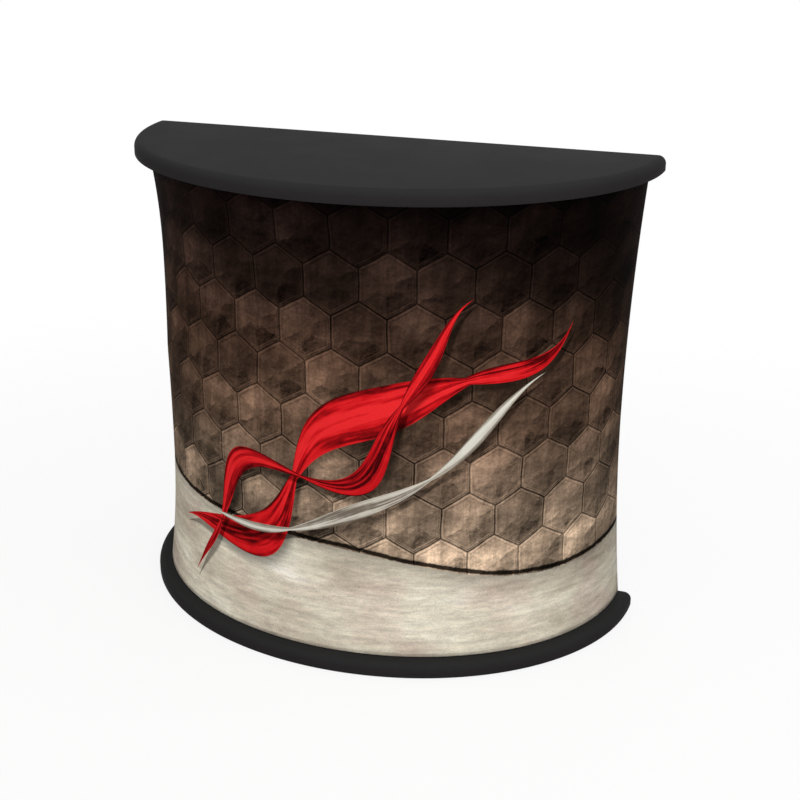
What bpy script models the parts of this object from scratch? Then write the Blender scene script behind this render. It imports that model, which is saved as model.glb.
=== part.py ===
"""Half-round exhibition counter, about waist high, that takes apart by hand.

Two equal boards hold a printed stretch fabric, drawn round the curved side by silicone strips in curved rails.
Behind it stand four tube uprights in two lengths. They plug on sockets and shelf joiners, where sprung buttons
lock them. The fabric is drawn over the front edge of the shelf, and its rear edges are free. The flat side is
open, for the person behind the counter.

Metres, +Z up. The origin is on the floor, under the middle of the boards. The curved front faces -Y, and
right means +X, as someone in front of the counter sees it.
"""

import math

import bmesh
import bpy
from mathutils import Vector

for thing in list(bpy.data.objects):
    bpy.data.objects.remove(thing, do_unlink=True)

# The whole counter
WIDTH = 1.110
DEPTH = 0.476
HEIGHT = 1.000
SEAT_GAP = 0.0003  # left between pieces that touch
OVERRUN = 0.010  # how far a cutter passes the wall it cuts
WELD = 0.00001

# Boards and feet
BOARD_THICKNESS = 0.030
BOARD_EDGE_RADIUS = 0.016
FOOT_CLEARANCE = 0.002  # from the floor to the base board
FOOT_RADIUS = 0.019
FOOT_CHAMFER = 0.0006
FOOT_INSET = 0.060
FOOT_END_ANGLE = math.radians(8)  # from the boards' rear corners to the row's end pads
FOOT_SPACES = 4

# Shelf
SHELF_TOP = 0.554
SHELF_THICKNESS = 0.018
SHELF_EDGE_RADIUS = 0.003
SHELF_CORNER_RADIUS = 0.014
SHELF_SETBACK = 0.012  # from the boards' flat side

# Fabric: its face lies behind the boards' edge by an inset that changes with height
WRAP_THICKNESS = 0.002
RIM_INSET = 0.0296  # where it meets the boards
SHELF_INSET = 0.0452  # where the shelf pushes it out
FRONT_HOLLOW = 0.0183  # deepest draw of the two bays, past the rim
CORNER_BOW = 0.0220  # deepest draw of the free rear edge, past the rim
DEEPEST_SHARE = 0.44  # of a bay, from the shelf to its board
CORNER_DEEPEST_SHARE = 0.45  # of the height between the boards
HOLLOW_POWER = 2.2
FREE_EDGE_ANGLE = math.radians(30)  # past this turn from a rear edge the bow has died out

# Rails and the silicone strips in them
RAIL_HEIGHT = 0.014
RAIL_DEPTH = 0.014
RAIL_LIP = 0.002
RAIL_FOOT_WIDTH = 0.014
RAIL_FOOT_THICKNESS = 0.0022
BEAD_THICKNESS = 0.003
BEAD_WIDTH = 0.0095

# Uprights
TUBE_RADIUS = 0.015
TUBE_WALL = 0.0015
UPRIGHT_INSET = 0.098  # of the tubes' middles, from the boards' edge
REAR_ANGLE = math.radians(6.5)  # round the boards, from their rear corner
FRONT_ANGLE = math.radians(56.8)
UPRIGHT_ANGLES = {
    "rear_right": REAR_ANGLE,
    "front_right": FRONT_ANGLE,
    "front_left": math.pi - FRONT_ANGLE,
    "rear_left": math.pi - REAR_ANGLE,
}

# Sockets and shelf joiners
SPIGOT_WALL = 0.0024
SPIGOT_TIP = 0.015  # of spigot past the button's middle
SPIGOT_CHAMFER = 0.0015
FLANGE_RADIUS = 0.030
FLANGE_THICKNESS = 0.004
FLANGE_CHAMFER = 0.001
SCREW_HOLE_RADIUS = 0.0023
SCREW_CIRCLE_RADIUS = 0.0225
SCREWS_PER_FLANGE = 3
COLLAR_RADIUS = 0.021
COLLAR_THICKNESS = 0.004
JOINER_TAIL = 0.040

# Sprung buttons
BUTTON_RADIUS = 0.004
BUTTON_CLEARANCE = 0.0004
BUTTON_RISE = 0.030  # above the face that the tube stands on
BUTTON_PROUD = 0.0035  # past the tube's wall
BUTTON_DOME_SHARES = ((1.0, 0.0), (0.92, 0.4), (0.70, 0.72), (0.38, 0.93), (0.0, 1.0))
SHOULDER_RADIUS = 0.0055
SHOULDER_THICKNESS = 0.0015
SPRING_WIDTH = 0.007
SPRING_STRIP = 0.0008
SPRING_DROP = 0.0215  # from the button to the middle of the fold
SPRING_FOLD_RADIUS = 0.0025
SPRING_PAD = 0.005  # half the straight length behind the button
SPRING_FOLD_CENTRE_SHARE = 0.2  # of the bore's radius, behind the middle

# How finely round things are cut
BOARD_STEPS = 60
EDGE_STEPS = 4
WRAP_STEPS = 36
BAY_STEPS = 7
ROUND_STEPS = 20
BUTTON_STEPS = 12
SCREW_HOLE_STEPS = 8
FOLD_STEPS = 4

# Levels and radii that follow
BASE_TOP = FOOT_CLEARANCE + BOARD_THICKNESS
TOP_UNDERSIDE = HEIGHT - BOARD_THICKNESS
SHELF_UNDERSIDE = SHELF_TOP - SHELF_THICKNESS
SPIGOT_RADIUS = TUBE_RADIUS - TUBE_WALL - SEAT_GAP
BORE_RADIUS = SPIGOT_RADIUS - SPIGOT_WALL
SPIGOT_LENGTH = BUTTON_RISE + SPIGOT_TIP
SLOT_HEIGHT = BEAD_THICKNESS + 2 * SEAT_GAP
WRAP_LOW = BASE_TOP + SEAT_GAP + RAIL_LIP
WRAP_HIGH = TOP_UNDERSIDE - SEAT_GAP - RAIL_LIP


def finish(name, colour, roughness, metallic=0.0):
    """A material with one colour, given as linear red, green and blue."""
    made = bpy.data.materials.new(name)
    made.use_nodes = True
    shader = made.node_tree.nodes["Principled BSDF"]
    shader.inputs["Base Color"].default_value = (*colour, 1.0)
    shader.inputs["Roughness"].default_value = roughness
    shader.inputs["Metallic"].default_value = metallic
    return made


BLACK_LAMINATE = finish("black_laminate", (0.040, 0.040, 0.041), 0.55)
PRINTED_FABRIC = finish("printed_fabric", (0.120, 0.080, 0.058), 0.80)
BLACK_ANODISED = finish("black_anodised", (0.030, 0.030, 0.032), 0.40, 1.0)
SATIN_ALUMINIUM = finish("satin_aluminium", (0.600, 0.610, 0.620), 0.32, 1.0)
BLACK_NYLON = finish("black_nylon", (0.025, 0.025, 0.026), 0.50)
NICKEL_STEEL = finish("nickel_steel", (0.560, 0.550, 0.530), 0.25, 1.0)
SPRING_STEEL = finish("spring_steel", (0.350, 0.340, 0.330), 0.35, 1.0)
CLEAR_SILICONE = finish("silicone", (0.550, 0.550, 0.530), 0.45)
FOOT_RUBBER = finish("foot_rubber", (0.020, 0.020, 0.020), 0.85)


def place(angle, inset, z):
    """A point on the boards' half-ellipse, moved in from the edge. The angle runs from the right rear corner."""
    return Vector(((WIDTH / 2 - inset) * math.cos(angle), DEPTH / 2 - (DEPTH - inset) * math.sin(angle), z))


def turns(first, last, steps):
    """Evenly spaced angles, both ends included."""
    return [first + (last - first) * step / steps for step in range(steps + 1)]


def front_inset(z):
    """The fabric's inset round the front: a hollow in each bay, with the shelf between them."""
    if SHELF_UNDERSIDE <= z <= SHELF_TOP:
        return SHELF_INSET
    near, far = (SHELF_TOP, TOP_UNDERSIDE) if z > SHELF_TOP else (SHELF_UNDERSIDE, BASE_TOP)
    share = (z - near) / (far - near)
    deepest = RIM_INSET + FRONT_HOLLOW
    if share < DEEPEST_SHARE:
        return deepest - (deepest - SHELF_INSET) * (1 - share / DEEPEST_SHARE) ** 2
    return deepest - FRONT_HOLLOW * ((share - DEEPEST_SHARE) / (1 - DEEPEST_SHARE)) ** HOLLOW_POWER


def corner_inset(z):
    """The fabric's inset at its free rear edges: one bow from board to board."""
    share = (z - BASE_TOP) / (TOP_UNDERSIDE - BASE_TOP)
    side = CORNER_DEEPEST_SHARE if share < CORNER_DEEPEST_SHARE else 1 - CORNER_DEEPEST_SHARE
    return RIM_INSET + CORNER_BOW * (1 - ((share - CORNER_DEEPEST_SHARE) / side) ** 2)


def wrap_inset(angle, z):
    """The fabric's inset anywhere: the rear edge's bow fades into the front's two hollows."""
    share = min(angle, math.pi - angle) / FREE_EDGE_ANGLE
    share = min(max(share, 0.0), 1.0)
    blend = share * share * (3 - 2 * share)
    return corner_inset(z) + (front_inset(z) - corner_inset(z)) * blend


def most_inset(levels):
    """The largest inset that the fabric's face has at any of these heights."""
    return max(shape(z) for z in levels for shape in (front_inset, corner_inset))


def meshed(name, bm):
    """The mesh of a finished bmesh, with round faces smooth."""
    bmesh.ops.recalc_face_normals(bm, faces=bm.faces)
    mesh = bpy.data.meshes.new(name)
    bm.to_mesh(mesh)
    bm.free()
    mesh.shade_smooth()
    mesh.set_sharp_from_angle(angle=math.radians(35))
    return mesh


def add(name, mesh, material, location=(0, 0, 0), rotation=(0, 0, 0)):
    """An object of this mesh, with its material."""
    made = bpy.data.objects.new(name, mesh)
    if not mesh.materials:
        mesh.materials.append(material)
    made.location = location
    made.rotation_euler = rotation
    bpy.context.collection.objects.link(made)
    return made


def swept(name, section):
    """A solid that follows the boards' curve. section(angle) gives its outline as pairs of inset and height."""
    bm = bmesh.new()
    rings = []
    for angle in turns(0, math.pi, WRAP_STEPS):
        rings.append([bm.verts.new(place(angle, inset, z)) for inset, z in section(angle)])
    for near, far in zip(rings, rings[1:]):
        for i in range(len(near)):
            bm.faces.new((near[i - 1], near[i], far[i], far[i - 1]))
    bm.faces.new(rings[0])
    bm.faces.new(rings[-1])
    return meshed(name, bm)


def turned(name, profile, steps, closed=False):
    """A profile of radius and height pairs, turned about Z. An open one starts and ends on the axis."""
    bm = bmesh.new()
    points = [bm.verts.new((radius, 0, z)) for radius, z in profile]
    lines = [bm.edges.new(pair) for pair in zip(points, points[1:])]
    if closed:
        lines.append(bm.edges.new((points[-1], points[0])))
    bmesh.ops.spin(
        bm, geom=points + lines, cent=(0, 0, 0), axis=(0, 0, 1), angle=2 * math.pi, steps=steps, use_merge=True
    )
    bmesh.ops.remove_doubles(bm, verts=bm.verts, dist=WELD)
    return meshed(name, bm)


def plate(name, outline, thickness):
    """A flat bmesh plate with its lower face at height zero."""
    bm = bmesh.new()
    face = bm.faces.new([bm.verts.new((x, y, 0)) for x, y in outline])
    raised = bmesh.ops.extrude_face_region(bm, geom=[face])
    corners = [item for item in raised["geom"] if isinstance(item, bmesh.types.BMVert)]
    bmesh.ops.translate(bm, verts=corners, vec=(0, 0, thickness))
    return bm


def rounded(bm, edges, radius, steps):
    bmesh.ops.bevel(
        bm, geom=edges, offset=radius, offset_type="OFFSET", segments=steps, profile=0.5, affect="EDGES", material=-1
    )


def cut(mesh, cutters):
    """This mesh with each cutter taken out of it. A cutter is a mesh and the place and turn it is put at."""
    block = bpy.data.objects.new(mesh.name, mesh)
    bpy.context.collection.objects.link(block)
    tools = []
    for tool_mesh, location, rotation in cutters:
        tool = bpy.data.objects.new("cutter", tool_mesh)
        tool.location, tool.rotation_euler = location, rotation
        bpy.context.collection.objects.link(tool)
        step = block.modifiers.new("cut", "BOOLEAN")
        step.operation, step.object = "DIFFERENCE", tool
        tools.append(tool)
    seen = block.evaluated_get(bpy.context.evaluated_depsgraph_get())
    result = bpy.data.meshes.new_from_object(seen)
    result.name = mesh.name
    for thing in (*tools, block):
        bpy.data.objects.remove(thing, do_unlink=True)
    return result


def post(name, radius, low, high, steps):
    """A plain round bar, for cutting."""
    return turned(name, [(0, low), (radius, low), (radius, high), (0, high)], steps)


OUTWARD = (-math.pi / 2, 0, 0)  # turns local +Z to +Y, the way the buttons point
BUTTON_WAY = post("button_way", BUTTON_RADIUS + BUTTON_CLEARANCE, 0, TUBE_RADIUS + OVERRUN, BUTTON_STEPS)


def button_hole(height):
    return BUTTON_WAY, (0, 0, height), OUTWARD


def on_back(edge):
    """Whether an edge lies along the boards' flat side."""
    return all(abs(corner.co.y - DEPTH / 2) < WELD for corner in edge.verts)


def make_boards():
    """The two equal boards: square at the back, a quarter-round on the upper edge of the curved side."""
    outline = [place(angle, 0, 0).xy for angle in turns(0, math.pi, BOARD_STEPS)]
    bm = plate("board", outline, BOARD_THICKNESS)
    upper = [e for e in bm.edges if all(v.co.z > BOARD_THICKNESS / 2 for v in e.verts) and not on_back(e)]
    rounded(bm, upper, BOARD_EDGE_RADIUS, EDGE_STEPS)
    mesh = meshed("board", bm)
    add("base_board", mesh, BLACK_LAMINATE, (0, 0, FOOT_CLEARANCE))
    add("top_board", mesh, BLACK_LAMINATE, (0, 0, TOP_UNDERSIDE))


def make_feet():
    """Rubber pads under the base board: one row round the curve and one pad at the middle of the back."""
    high = FOOT_CLEARANCE - SEAT_GAP
    profile = [(0, 0), (FOOT_RADIUS - FOOT_CHAMFER, 0), (FOOT_RADIUS, FOOT_CHAMFER), (FOOT_RADIUS, high), (0, high)]
    mesh = turned("foot", profile, ROUND_STEPS)
    spots = [place(angle, FOOT_INSET, 0) for angle in turns(FOOT_END_ANGLE, math.pi - FOOT_END_ANGLE, FOOT_SPACES)]
    spots.append(Vector((0, DEPTH / 2 - FOOT_INSET, 0)))
    for number, spot in enumerate(spots, 1):
        add(f"foot_{number}", mesh, FOOT_RUBBER, spot)


def make_wrap():
    """The fabric, as a thin solid with its real outer face."""
    low_bay = [WRAP_LOW + (SHELF_UNDERSIDE - WRAP_LOW) * step / BAY_STEPS for step in range(BAY_STEPS + 1)]
    high_bay = [SHELF_TOP + (WRAP_HIGH - SHELF_TOP) * step / BAY_STEPS for step in range(BAY_STEPS + 1)]
    levels = low_bay + high_bay

    def section(angle):
        outer = [(wrap_inset(angle, z), z) for z in levels]
        inner = [(inset + WRAP_THICKNESS, z) for inset, z in reversed(outer)]
        return outer + inner

    add("graphic_wrap", swept("graphic_wrap", section), PRINTED_FABRIC)


def make_rails():
    """Curved channels on the boards. The strip on the fabric's edge is pressed into their slot, from outside."""
    low_edge = (WRAP_LOW, WRAP_LOW + RAIL_HEIGHT)
    high_edge = (WRAP_HIGH, WRAP_HIGH - RAIL_HEIGHT)
    rail_out = most_inset(low_edge + high_edge) + WRAP_THICKNESS + SEAT_GAP
    rail_in = rail_out + RAIL_DEPTH
    foot_in = rail_in + RAIL_FOOT_WIDTH
    strip_low, strip_high = WRAP_LOW + BEAD_THICKNESS, WRAP_HIGH - BEAD_THICKNESS
    bead_out = most_inset((WRAP_LOW, strip_low, WRAP_HIGH, strip_high)) + WRAP_THICKNESS + SEAT_GAP
    bead_in = bead_out + BEAD_WIDTH
    slot_in = bead_in + SEAT_GAP
    slot_low = RAIL_LIP
    slot_high = RAIL_LIP + SLOT_HEIGHT
    rail = [
        (rail_out, 0), (foot_in, 0), (foot_in, RAIL_FOOT_THICKNESS), (rail_in, RAIL_FOOT_THICKNESS),
        (rail_in, RAIL_HEIGHT), (rail_out, RAIL_HEIGHT), (rail_out, slot_high), (slot_in, slot_high),
        (slot_in, slot_low), (rail_out, slot_low),
    ]
    bead_low = RAIL_LIP + SEAT_GAP
    bead_high = bead_low + BEAD_THICKNESS
    bead = [(bead_out, bead_low), (bead_in, bead_low), (bead_in, bead_high), (bead_out, bead_high)]
    for end, board, way in (("base", BASE_TOP + SEAT_GAP, 1), ("top", TOP_UNDERSIDE - SEAT_GAP, -1)):
        for piece, outline, material in (("rail", rail, BLACK_ANODISED), ("bead", bead, CLEAR_SILICONE)):
            placed = [(inset, board + way * z) for inset, z in outline]
            add(f"{end}_{piece}", swept(f"{end}_{piece}", lambda angle, shape=placed: shape), material)


def make_shelf():
    """The shelf fills the plan of the fabric and has a hole for each shelf joiner."""
    outline = []
    for angle in turns(0, math.pi, WRAP_STEPS):
        inset = max(wrap_inset(angle, z) for z in (SHELF_UNDERSIDE, SHELF_TOP)) + WRAP_THICKNESS + SEAT_GAP
        outline.append(place(angle, inset, 0).xy)
    for end, beside in ((0, 1), (-1, -2)):
        outline[end] = outline[end].lerp(outline[beside], SHELF_SETBACK / (outline[end].y - outline[beside].y))
    bm = plate("shelf", outline, SHELF_THICKNESS)
    back = max(y for _, y in outline) - WELD
    uprights = [e for e in bm.edges if abs(e.verts[0].co.z - e.verts[1].co.z) > WELD and e.verts[0].co.y > back]
    rounded(bm, uprights, SHELF_CORNER_RADIUS, EDGE_STEPS)
    rim = [e for e in bm.edges if abs(e.verts[0].co.z - e.verts[1].co.z) < WELD and e.calc_face_angle() > 1]
    rounded(bm, rim, SHELF_EDGE_RADIUS, 1)
    hole = post("joiner_way", SPIGOT_RADIUS + SEAT_GAP, -OVERRUN, SHELF_THICKNESS + OVERRUN, ROUND_STEPS)
    holes = [(hole, place(angle, UPRIGHT_INSET, 0), (0, 0, 0)) for angle in UPRIGHT_ANGLES.values()]
    add("shelf", cut(meshed("shelf", bm), holes), BLACK_LAMINATE, (0, 0, SHELF_UNDERSIDE))


def tube_mesh(name, length, hole_heights):
    inner = TUBE_RADIUS - TUBE_WALL
    profile = [(inner, 0), (TUBE_RADIUS, 0), (TUBE_RADIUS, length), (inner, length)]
    return cut(turned(name, profile, ROUND_STEPS, closed=True), [button_hole(z) for z in hole_heights])


def socket_mesh():
    """A round flange with screw holes and a hollow spigot that goes up inside the tube."""
    top = FLANGE_THICKNESS + SPIGOT_LENGTH
    profile = [
        (0, 0), (FLANGE_RADIUS, 0), (FLANGE_RADIUS, FLANGE_THICKNESS - FLANGE_CHAMFER),
        (FLANGE_RADIUS - FLANGE_CHAMFER, FLANGE_THICKNESS), (SPIGOT_RADIUS, FLANGE_THICKNESS),
        (SPIGOT_RADIUS, top - SPIGOT_CHAMFER), (SPIGOT_RADIUS - SPIGOT_CHAMFER, top), (BORE_RADIUS, top),
        (BORE_RADIUS, FLANGE_THICKNESS), (0, FLANGE_THICKNESS),
    ]
    drill = post("screw_way", SCREW_HOLE_RADIUS, -OVERRUN, FLANGE_THICKNESS + OVERRUN, SCREW_HOLE_STEPS)
    holes = [button_hole(FLANGE_THICKNESS + BUTTON_RISE)]
    for number in range(SCREWS_PER_FLANGE):
        angle = math.pi / 2 + 2 * math.pi * number / SCREWS_PER_FLANGE
        spot = (SCREW_CIRCLE_RADIUS * math.cos(angle), SCREW_CIRCLE_RADIUS * math.sin(angle), 0)
        holes.append((drill, spot, (0, 0, 0)))
    return cut(turned("socket", profile, ROUND_STEPS), holes)


def joiner_mesh():
    """A hollow spigot for both tubes, with the collar that carries the shelf. Height zero is the collar's top."""
    low = -COLLAR_THICKNESS - JOINER_TAIL
    shelf = SEAT_GAP + SHELF_THICKNESS
    high = shelf + SPIGOT_LENGTH
    profile = [
        (BORE_RADIUS, low), (SPIGOT_RADIUS - SPIGOT_CHAMFER, low), (SPIGOT_RADIUS, low + SPIGOT_CHAMFER),
        (SPIGOT_RADIUS, -COLLAR_THICKNESS), (COLLAR_RADIUS, -COLLAR_THICKNESS), (COLLAR_RADIUS, 0),
        (SPIGOT_RADIUS, 0), (SPIGOT_RADIUS, high - SPIGOT_CHAMFER), (SPIGOT_RADIUS - SPIGOT_CHAMFER, high),
        (BORE_RADIUS, high),
    ]
    return cut(turned("shelf_joiner", profile, ROUND_STEPS, closed=True), [button_hole(shelf + BUTTON_RISE)])


def shoulder_face():
    """How far from the tube's middle the button's shoulder meets the bore, with its gap."""
    flat = math.cos(math.pi / ROUND_STEPS)
    return math.sqrt(BORE_RADIUS**2 - SHOULDER_RADIUS**2) * flat - SEAT_GAP


def button_mesh():
    """A domed pin on a wider shoulder. Height zero is the tube's middle, and the pin points up."""
    seat = shoulder_face()
    dome = TUBE_RADIUS
    profile = [(0, seat - SHOULDER_THICKNESS), (SHOULDER_RADIUS, seat - SHOULDER_THICKNESS), (SHOULDER_RADIUS, seat)]
    profile.append((BUTTON_RADIUS, seat))
    profile += [(BUTTON_RADIUS * across, dome + BUTTON_PROUD * up) for across, up in BUTTON_DOME_SHARES]
    return turned("snap_button", profile, BUTTON_STEPS)


def spring_mesh():
    """A folded strip: one leg lies behind the button's shoulder, the other on the far wall of the bore."""
    half = SPRING_STRIP / 2
    near = shoulder_face() - SHOULDER_THICKNESS - SEAT_GAP - half
    reach = math.sqrt(BORE_RADIUS**2 - (SPRING_WIDTH / 2) ** 2) * math.cos(math.pi / ROUND_STEPS)
    far = -(reach - SEAT_GAP - half)
    middle = -BORE_RADIUS * SPRING_FOLD_CENTRE_SHARE
    route = [(near, SPRING_PAD), (near, -SPRING_PAD)]
    for angle in turns(0, -math.pi, FOLD_STEPS):
        y = middle + SPRING_FOLD_RADIUS * math.cos(angle)
        route.append((y, -SPRING_DROP + SPRING_FOLD_RADIUS * math.sin(angle)))
    route += [(far, -SPRING_PAD), (far, SPRING_PAD)]
    bm = bmesh.new()
    points = [bm.verts.new((-SPRING_WIDTH / 2, y, z)) for y, z in route]
    lines = [bm.edges.new(pair) for pair in zip(points, points[1:])]
    widened = bmesh.ops.extrude_edge_only(bm, edges=lines)
    moved = [item for item in widened["geom"] if isinstance(item, bmesh.types.BMVert)]
    bmesh.ops.translate(bm, verts=moved, vec=(SPRING_WIDTH, 0, 0))
    return meshed("button_spring", bm)


def make_uprights():
    """Sockets, joiners, tubes, buttons and springs, four of each kind at each level."""
    low_foot = BASE_TOP + SEAT_GAP + FLANGE_THICKNESS + SEAT_GAP
    low_head = SHELF_UNDERSIDE - SEAT_GAP - COLLAR_THICKNESS - SEAT_GAP
    high_foot = SHELF_TOP + SEAT_GAP
    high_head = TOP_UNDERSIDE - SEAT_GAP - FLANGE_THICKNESS - SEAT_GAP
    hole = BUTTON_RISE - SEAT_GAP
    low_tube = tube_mesh("lower_upright", low_head - low_foot, [hole])
    high_tube = tube_mesh("upper_upright", high_head - high_foot, [hole, high_head - high_foot - hole])
    socket, joiner, button, spring = socket_mesh(), joiner_mesh(), button_mesh(), spring_mesh()
    over = (0, math.pi, 0)
    button_levels = {
        "base": (low_foot - SEAT_GAP + BUTTON_RISE, 0),
        "shelf": (SHELF_TOP + BUTTON_RISE, 0),
        "top": (high_head + SEAT_GAP - BUTTON_RISE, math.pi),
    }
    for corner, angle in UPRIGHT_ANGLES.items():
        x, y, _ = place(angle, UPRIGHT_INSET, 0)
        add(f"base_socket_{corner}", socket, BLACK_NYLON, (x, y, BASE_TOP + SEAT_GAP))
        add(f"top_socket_{corner}", socket, BLACK_NYLON, (x, y, TOP_UNDERSIDE - SEAT_GAP), over)
        add(f"shelf_joiner_{corner}", joiner, BLACK_NYLON, (x, y, SHELF_UNDERSIDE - SEAT_GAP))
        add(f"lower_upright_{corner}", low_tube, SATIN_ALUMINIUM, (x, y, low_foot))
        add(f"upper_upright_{corner}", high_tube, SATIN_ALUMINIUM, (x, y, high_foot))
        for level, (z, turn) in button_levels.items():
            add(f"{level}_button_{corner}", button, NICKEL_STEEL, (x, y, z), OUTWARD)
            strip = add(f"{level}_spring_{corner}", spring, SPRING_STEEL, (x, y, z), (0, turn, 0))
            wall = strip.modifiers.new("strip", "SOLIDIFY")
            wall.thickness, wall.offset = SPRING_STRIP, 0


make_boards()
make_feet()
make_wrap()
make_rails()
make_shelf()
make_uprights()
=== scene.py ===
# %% [markdown]
# # A half-round exhibition counter
#
# The counter is two equal black boards with a printed stretch fabric drawn round the curved side between
# them. Behind the fabric stand a shelf and four tube uprights that plug together by hand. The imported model
# already holds every part at its real size, so this notebook dresses it: it builds finer pieces where the
# packed ones are coarse, and gives every surface its own finish.
#
# Everything is in metres. The origin is on the floor, +Z is up, the curved front faces -Y, and the flat
# side, which is open for the person behind the counter, faces +Y.

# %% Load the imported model
import math

import bmesh
import bpy
from mathutils import Matrix, Vector


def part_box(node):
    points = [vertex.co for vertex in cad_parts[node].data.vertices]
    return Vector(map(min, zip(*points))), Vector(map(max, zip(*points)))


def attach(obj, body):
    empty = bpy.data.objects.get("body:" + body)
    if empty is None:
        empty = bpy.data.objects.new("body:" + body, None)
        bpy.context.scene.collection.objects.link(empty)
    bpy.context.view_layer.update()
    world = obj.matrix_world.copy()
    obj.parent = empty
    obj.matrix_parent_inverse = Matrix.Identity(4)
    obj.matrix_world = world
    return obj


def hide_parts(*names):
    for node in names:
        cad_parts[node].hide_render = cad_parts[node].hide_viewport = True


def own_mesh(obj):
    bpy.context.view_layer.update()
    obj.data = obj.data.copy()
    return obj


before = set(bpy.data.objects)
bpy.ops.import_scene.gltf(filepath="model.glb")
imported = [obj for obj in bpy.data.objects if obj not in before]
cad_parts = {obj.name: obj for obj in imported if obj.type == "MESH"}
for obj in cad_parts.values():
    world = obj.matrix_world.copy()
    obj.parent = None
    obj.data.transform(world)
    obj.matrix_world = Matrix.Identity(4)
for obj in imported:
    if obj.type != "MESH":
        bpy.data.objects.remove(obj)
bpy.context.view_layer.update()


# %% Put an object in the scene
def new_object(name, data):
    made = bpy.data.objects.new(name, data)
    bpy.context.scene.collection.objects.link(made)
    return made


# %% [markdown]
# ## The camera
#
# The photograph looks down on the counter from the front, a little from the right. A camera can be placed
# by its location and turn, but an azimuth, an elevation and a distance from a target are easier to read and
# to adjust. The lens shift moves the picture on the film without turning the camera, so upright lines keep
# their slant.

# %% Place the camera
VIEW_AZIMUTH = math.radians(19.98)
VIEW_ELEVATION = math.radians(22.05)
VIEW_DISTANCE = 2.876
VIEW_TARGET = Vector((0.0206, 0.0, 0.4826))
VIEW_LENS = 62.96
VIEW_SHIFT = (0.0418, 0.0127)

view_back = Vector((
    math.sin(VIEW_AZIMUTH) * math.cos(VIEW_ELEVATION),
    -math.cos(VIEW_AZIMUTH) * math.cos(VIEW_ELEVATION),
    math.sin(VIEW_ELEVATION),
))
camera = new_object("camera", bpy.data.cameras.new("camera"))
camera.location = VIEW_TARGET + view_back * VIEW_DISTANCE
camera.rotation_mode = "QUATERNION"
camera.rotation_quaternion = view_back.to_track_quat("Z", "Y")
camera.data.lens = VIEW_LENS
camera.data.shift_x, camera.data.shift_y = VIEW_SHIFT
bpy.context.scene.camera = camera
print("the camera stands at", [round(value, 3) for value in camera.location])

# %% [markdown]
# ## The curve that everything follows
#
# Seen from above, both boards are half an ellipse. Rails, fabric and shelf follow the same curve, moved in
# by some inset. One function for a point on it keeps all of them in line. Its angle runs from the right
# rear corner, over the front, to the left rear corner.

# %% Measure the boards and define the curve
board_low, board_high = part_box("base_board")
HALF_WIDTH = board_high.x
BACK = board_high.y
DEPTH = BACK - board_low.y
BOARD_THICKNESS = board_high.z - board_low.z
BASE_TOP = board_high.z
TOP_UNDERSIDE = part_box("top_board")[0].z
SHELF_UNDERSIDE, SHELF_TOP = (corner.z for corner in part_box("shelf"))


def on_curve(angle, inset, z):
    return Vector(((HALF_WIDTH - inset) * math.cos(angle), BACK - (DEPTH - inset) * math.sin(angle), z))


print(f"boards {2 * HALF_WIDTH:.3f} by {DEPTH:.3f}, {BOARD_THICKNESS:.3f} thick")

# %% [markdown]
# ## Small helpers for meshes
#
# A bmesh holds a shape while operators work on it. Each helper here does one job: make a mesh of it, show
# that mesh as a piece of the counter, turn a profile on the lathe, or cut holes. A piece's object stays at
# the origin, and its place is in its mesh, so patterns that read Object coordinates lie still on it.

# %% Make a mesh and show it as a piece
WELD = 0.00001
SHARP = math.radians(35)
FULL_TURN = 2 * math.pi


def mesh_of(name, bm, *finishes, outward=True):
    """The finished mesh of a bmesh, with round faces smooth and hard edges sharp."""
    if outward:
        bmesh.ops.recalc_face_normals(bm, faces=bm.faces)
    mesh = bpy.data.meshes.new(name)
    bm.to_mesh(mesh)
    bm.free()
    for finish in finishes:
        mesh.materials.append(finish)
    mesh.shade_smooth()
    mesh.set_sharp_from_angle(angle=SHARP)
    return mesh


def show(name, mesh, body="counter", instead_of=(), place=None):
    """A piece that rides on a body. With a place, it is a copy of the mesh, moved there."""
    if place is not None:
        mesh = mesh.copy()
        mesh.transform(place)
    piece = new_object(name, mesh)
    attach(piece, body)
    if instead_of:
        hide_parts(*instead_of)
    return piece


# %% Choose parts of a bmesh, and round its corners
CORNER_ANGLE = math.radians(40)  # an edge that turns by more than this is a corner
EASE_STEPS = 2


def only(kind, items):
    return [item for item in items if isinstance(item, kind)]


def sharp_edges(bm):
    return [edge for edge in bm.edges if edge.is_manifold and edge.calc_face_angle() > CORNER_ANGLE]


def rounded(bm, edges, radius, steps=EASE_STEPS):
    bmesh.ops.bevel(
        bm, geom=edges, offset=radius, offset_type="OFFSET", segments=steps, profile=0.5, affect="EDGES",
        material=-1,
    )


# %% Turn a profile on the lathe
def turned(profile, steps, closed=False, ease=0.0):
    """Spins radius and height pairs about Z, and eases the corners.

    An open profile starts and ends on the axis.
    """
    bm = bmesh.new()
    points = [bm.verts.new((radius, 0, z)) for radius, z in profile]
    lines = [bm.edges.new(pair) for pair in zip(points, points[1:])]
    if closed:
        lines.append(bm.edges.new((points[-1], points[0])))
    bmesh.ops.spin(
        bm, geom=points + lines, cent=(0, 0, 0), axis=(0, 0, 1), angle=FULL_TURN, steps=steps, use_merge=True
    )
    bmesh.ops.remove_doubles(bm, verts=bm.verts, dist=WELD)
    bmesh.ops.recalc_face_normals(bm, faces=bm.faces)
    if ease:
        rounded(bm, sharp_edges(bm), ease)
    return bm


def pin(radius, low, high):
    """The profile of a plain pin."""
    return [(0, low), (radius, low), (radius, high), (0, high)]


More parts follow.
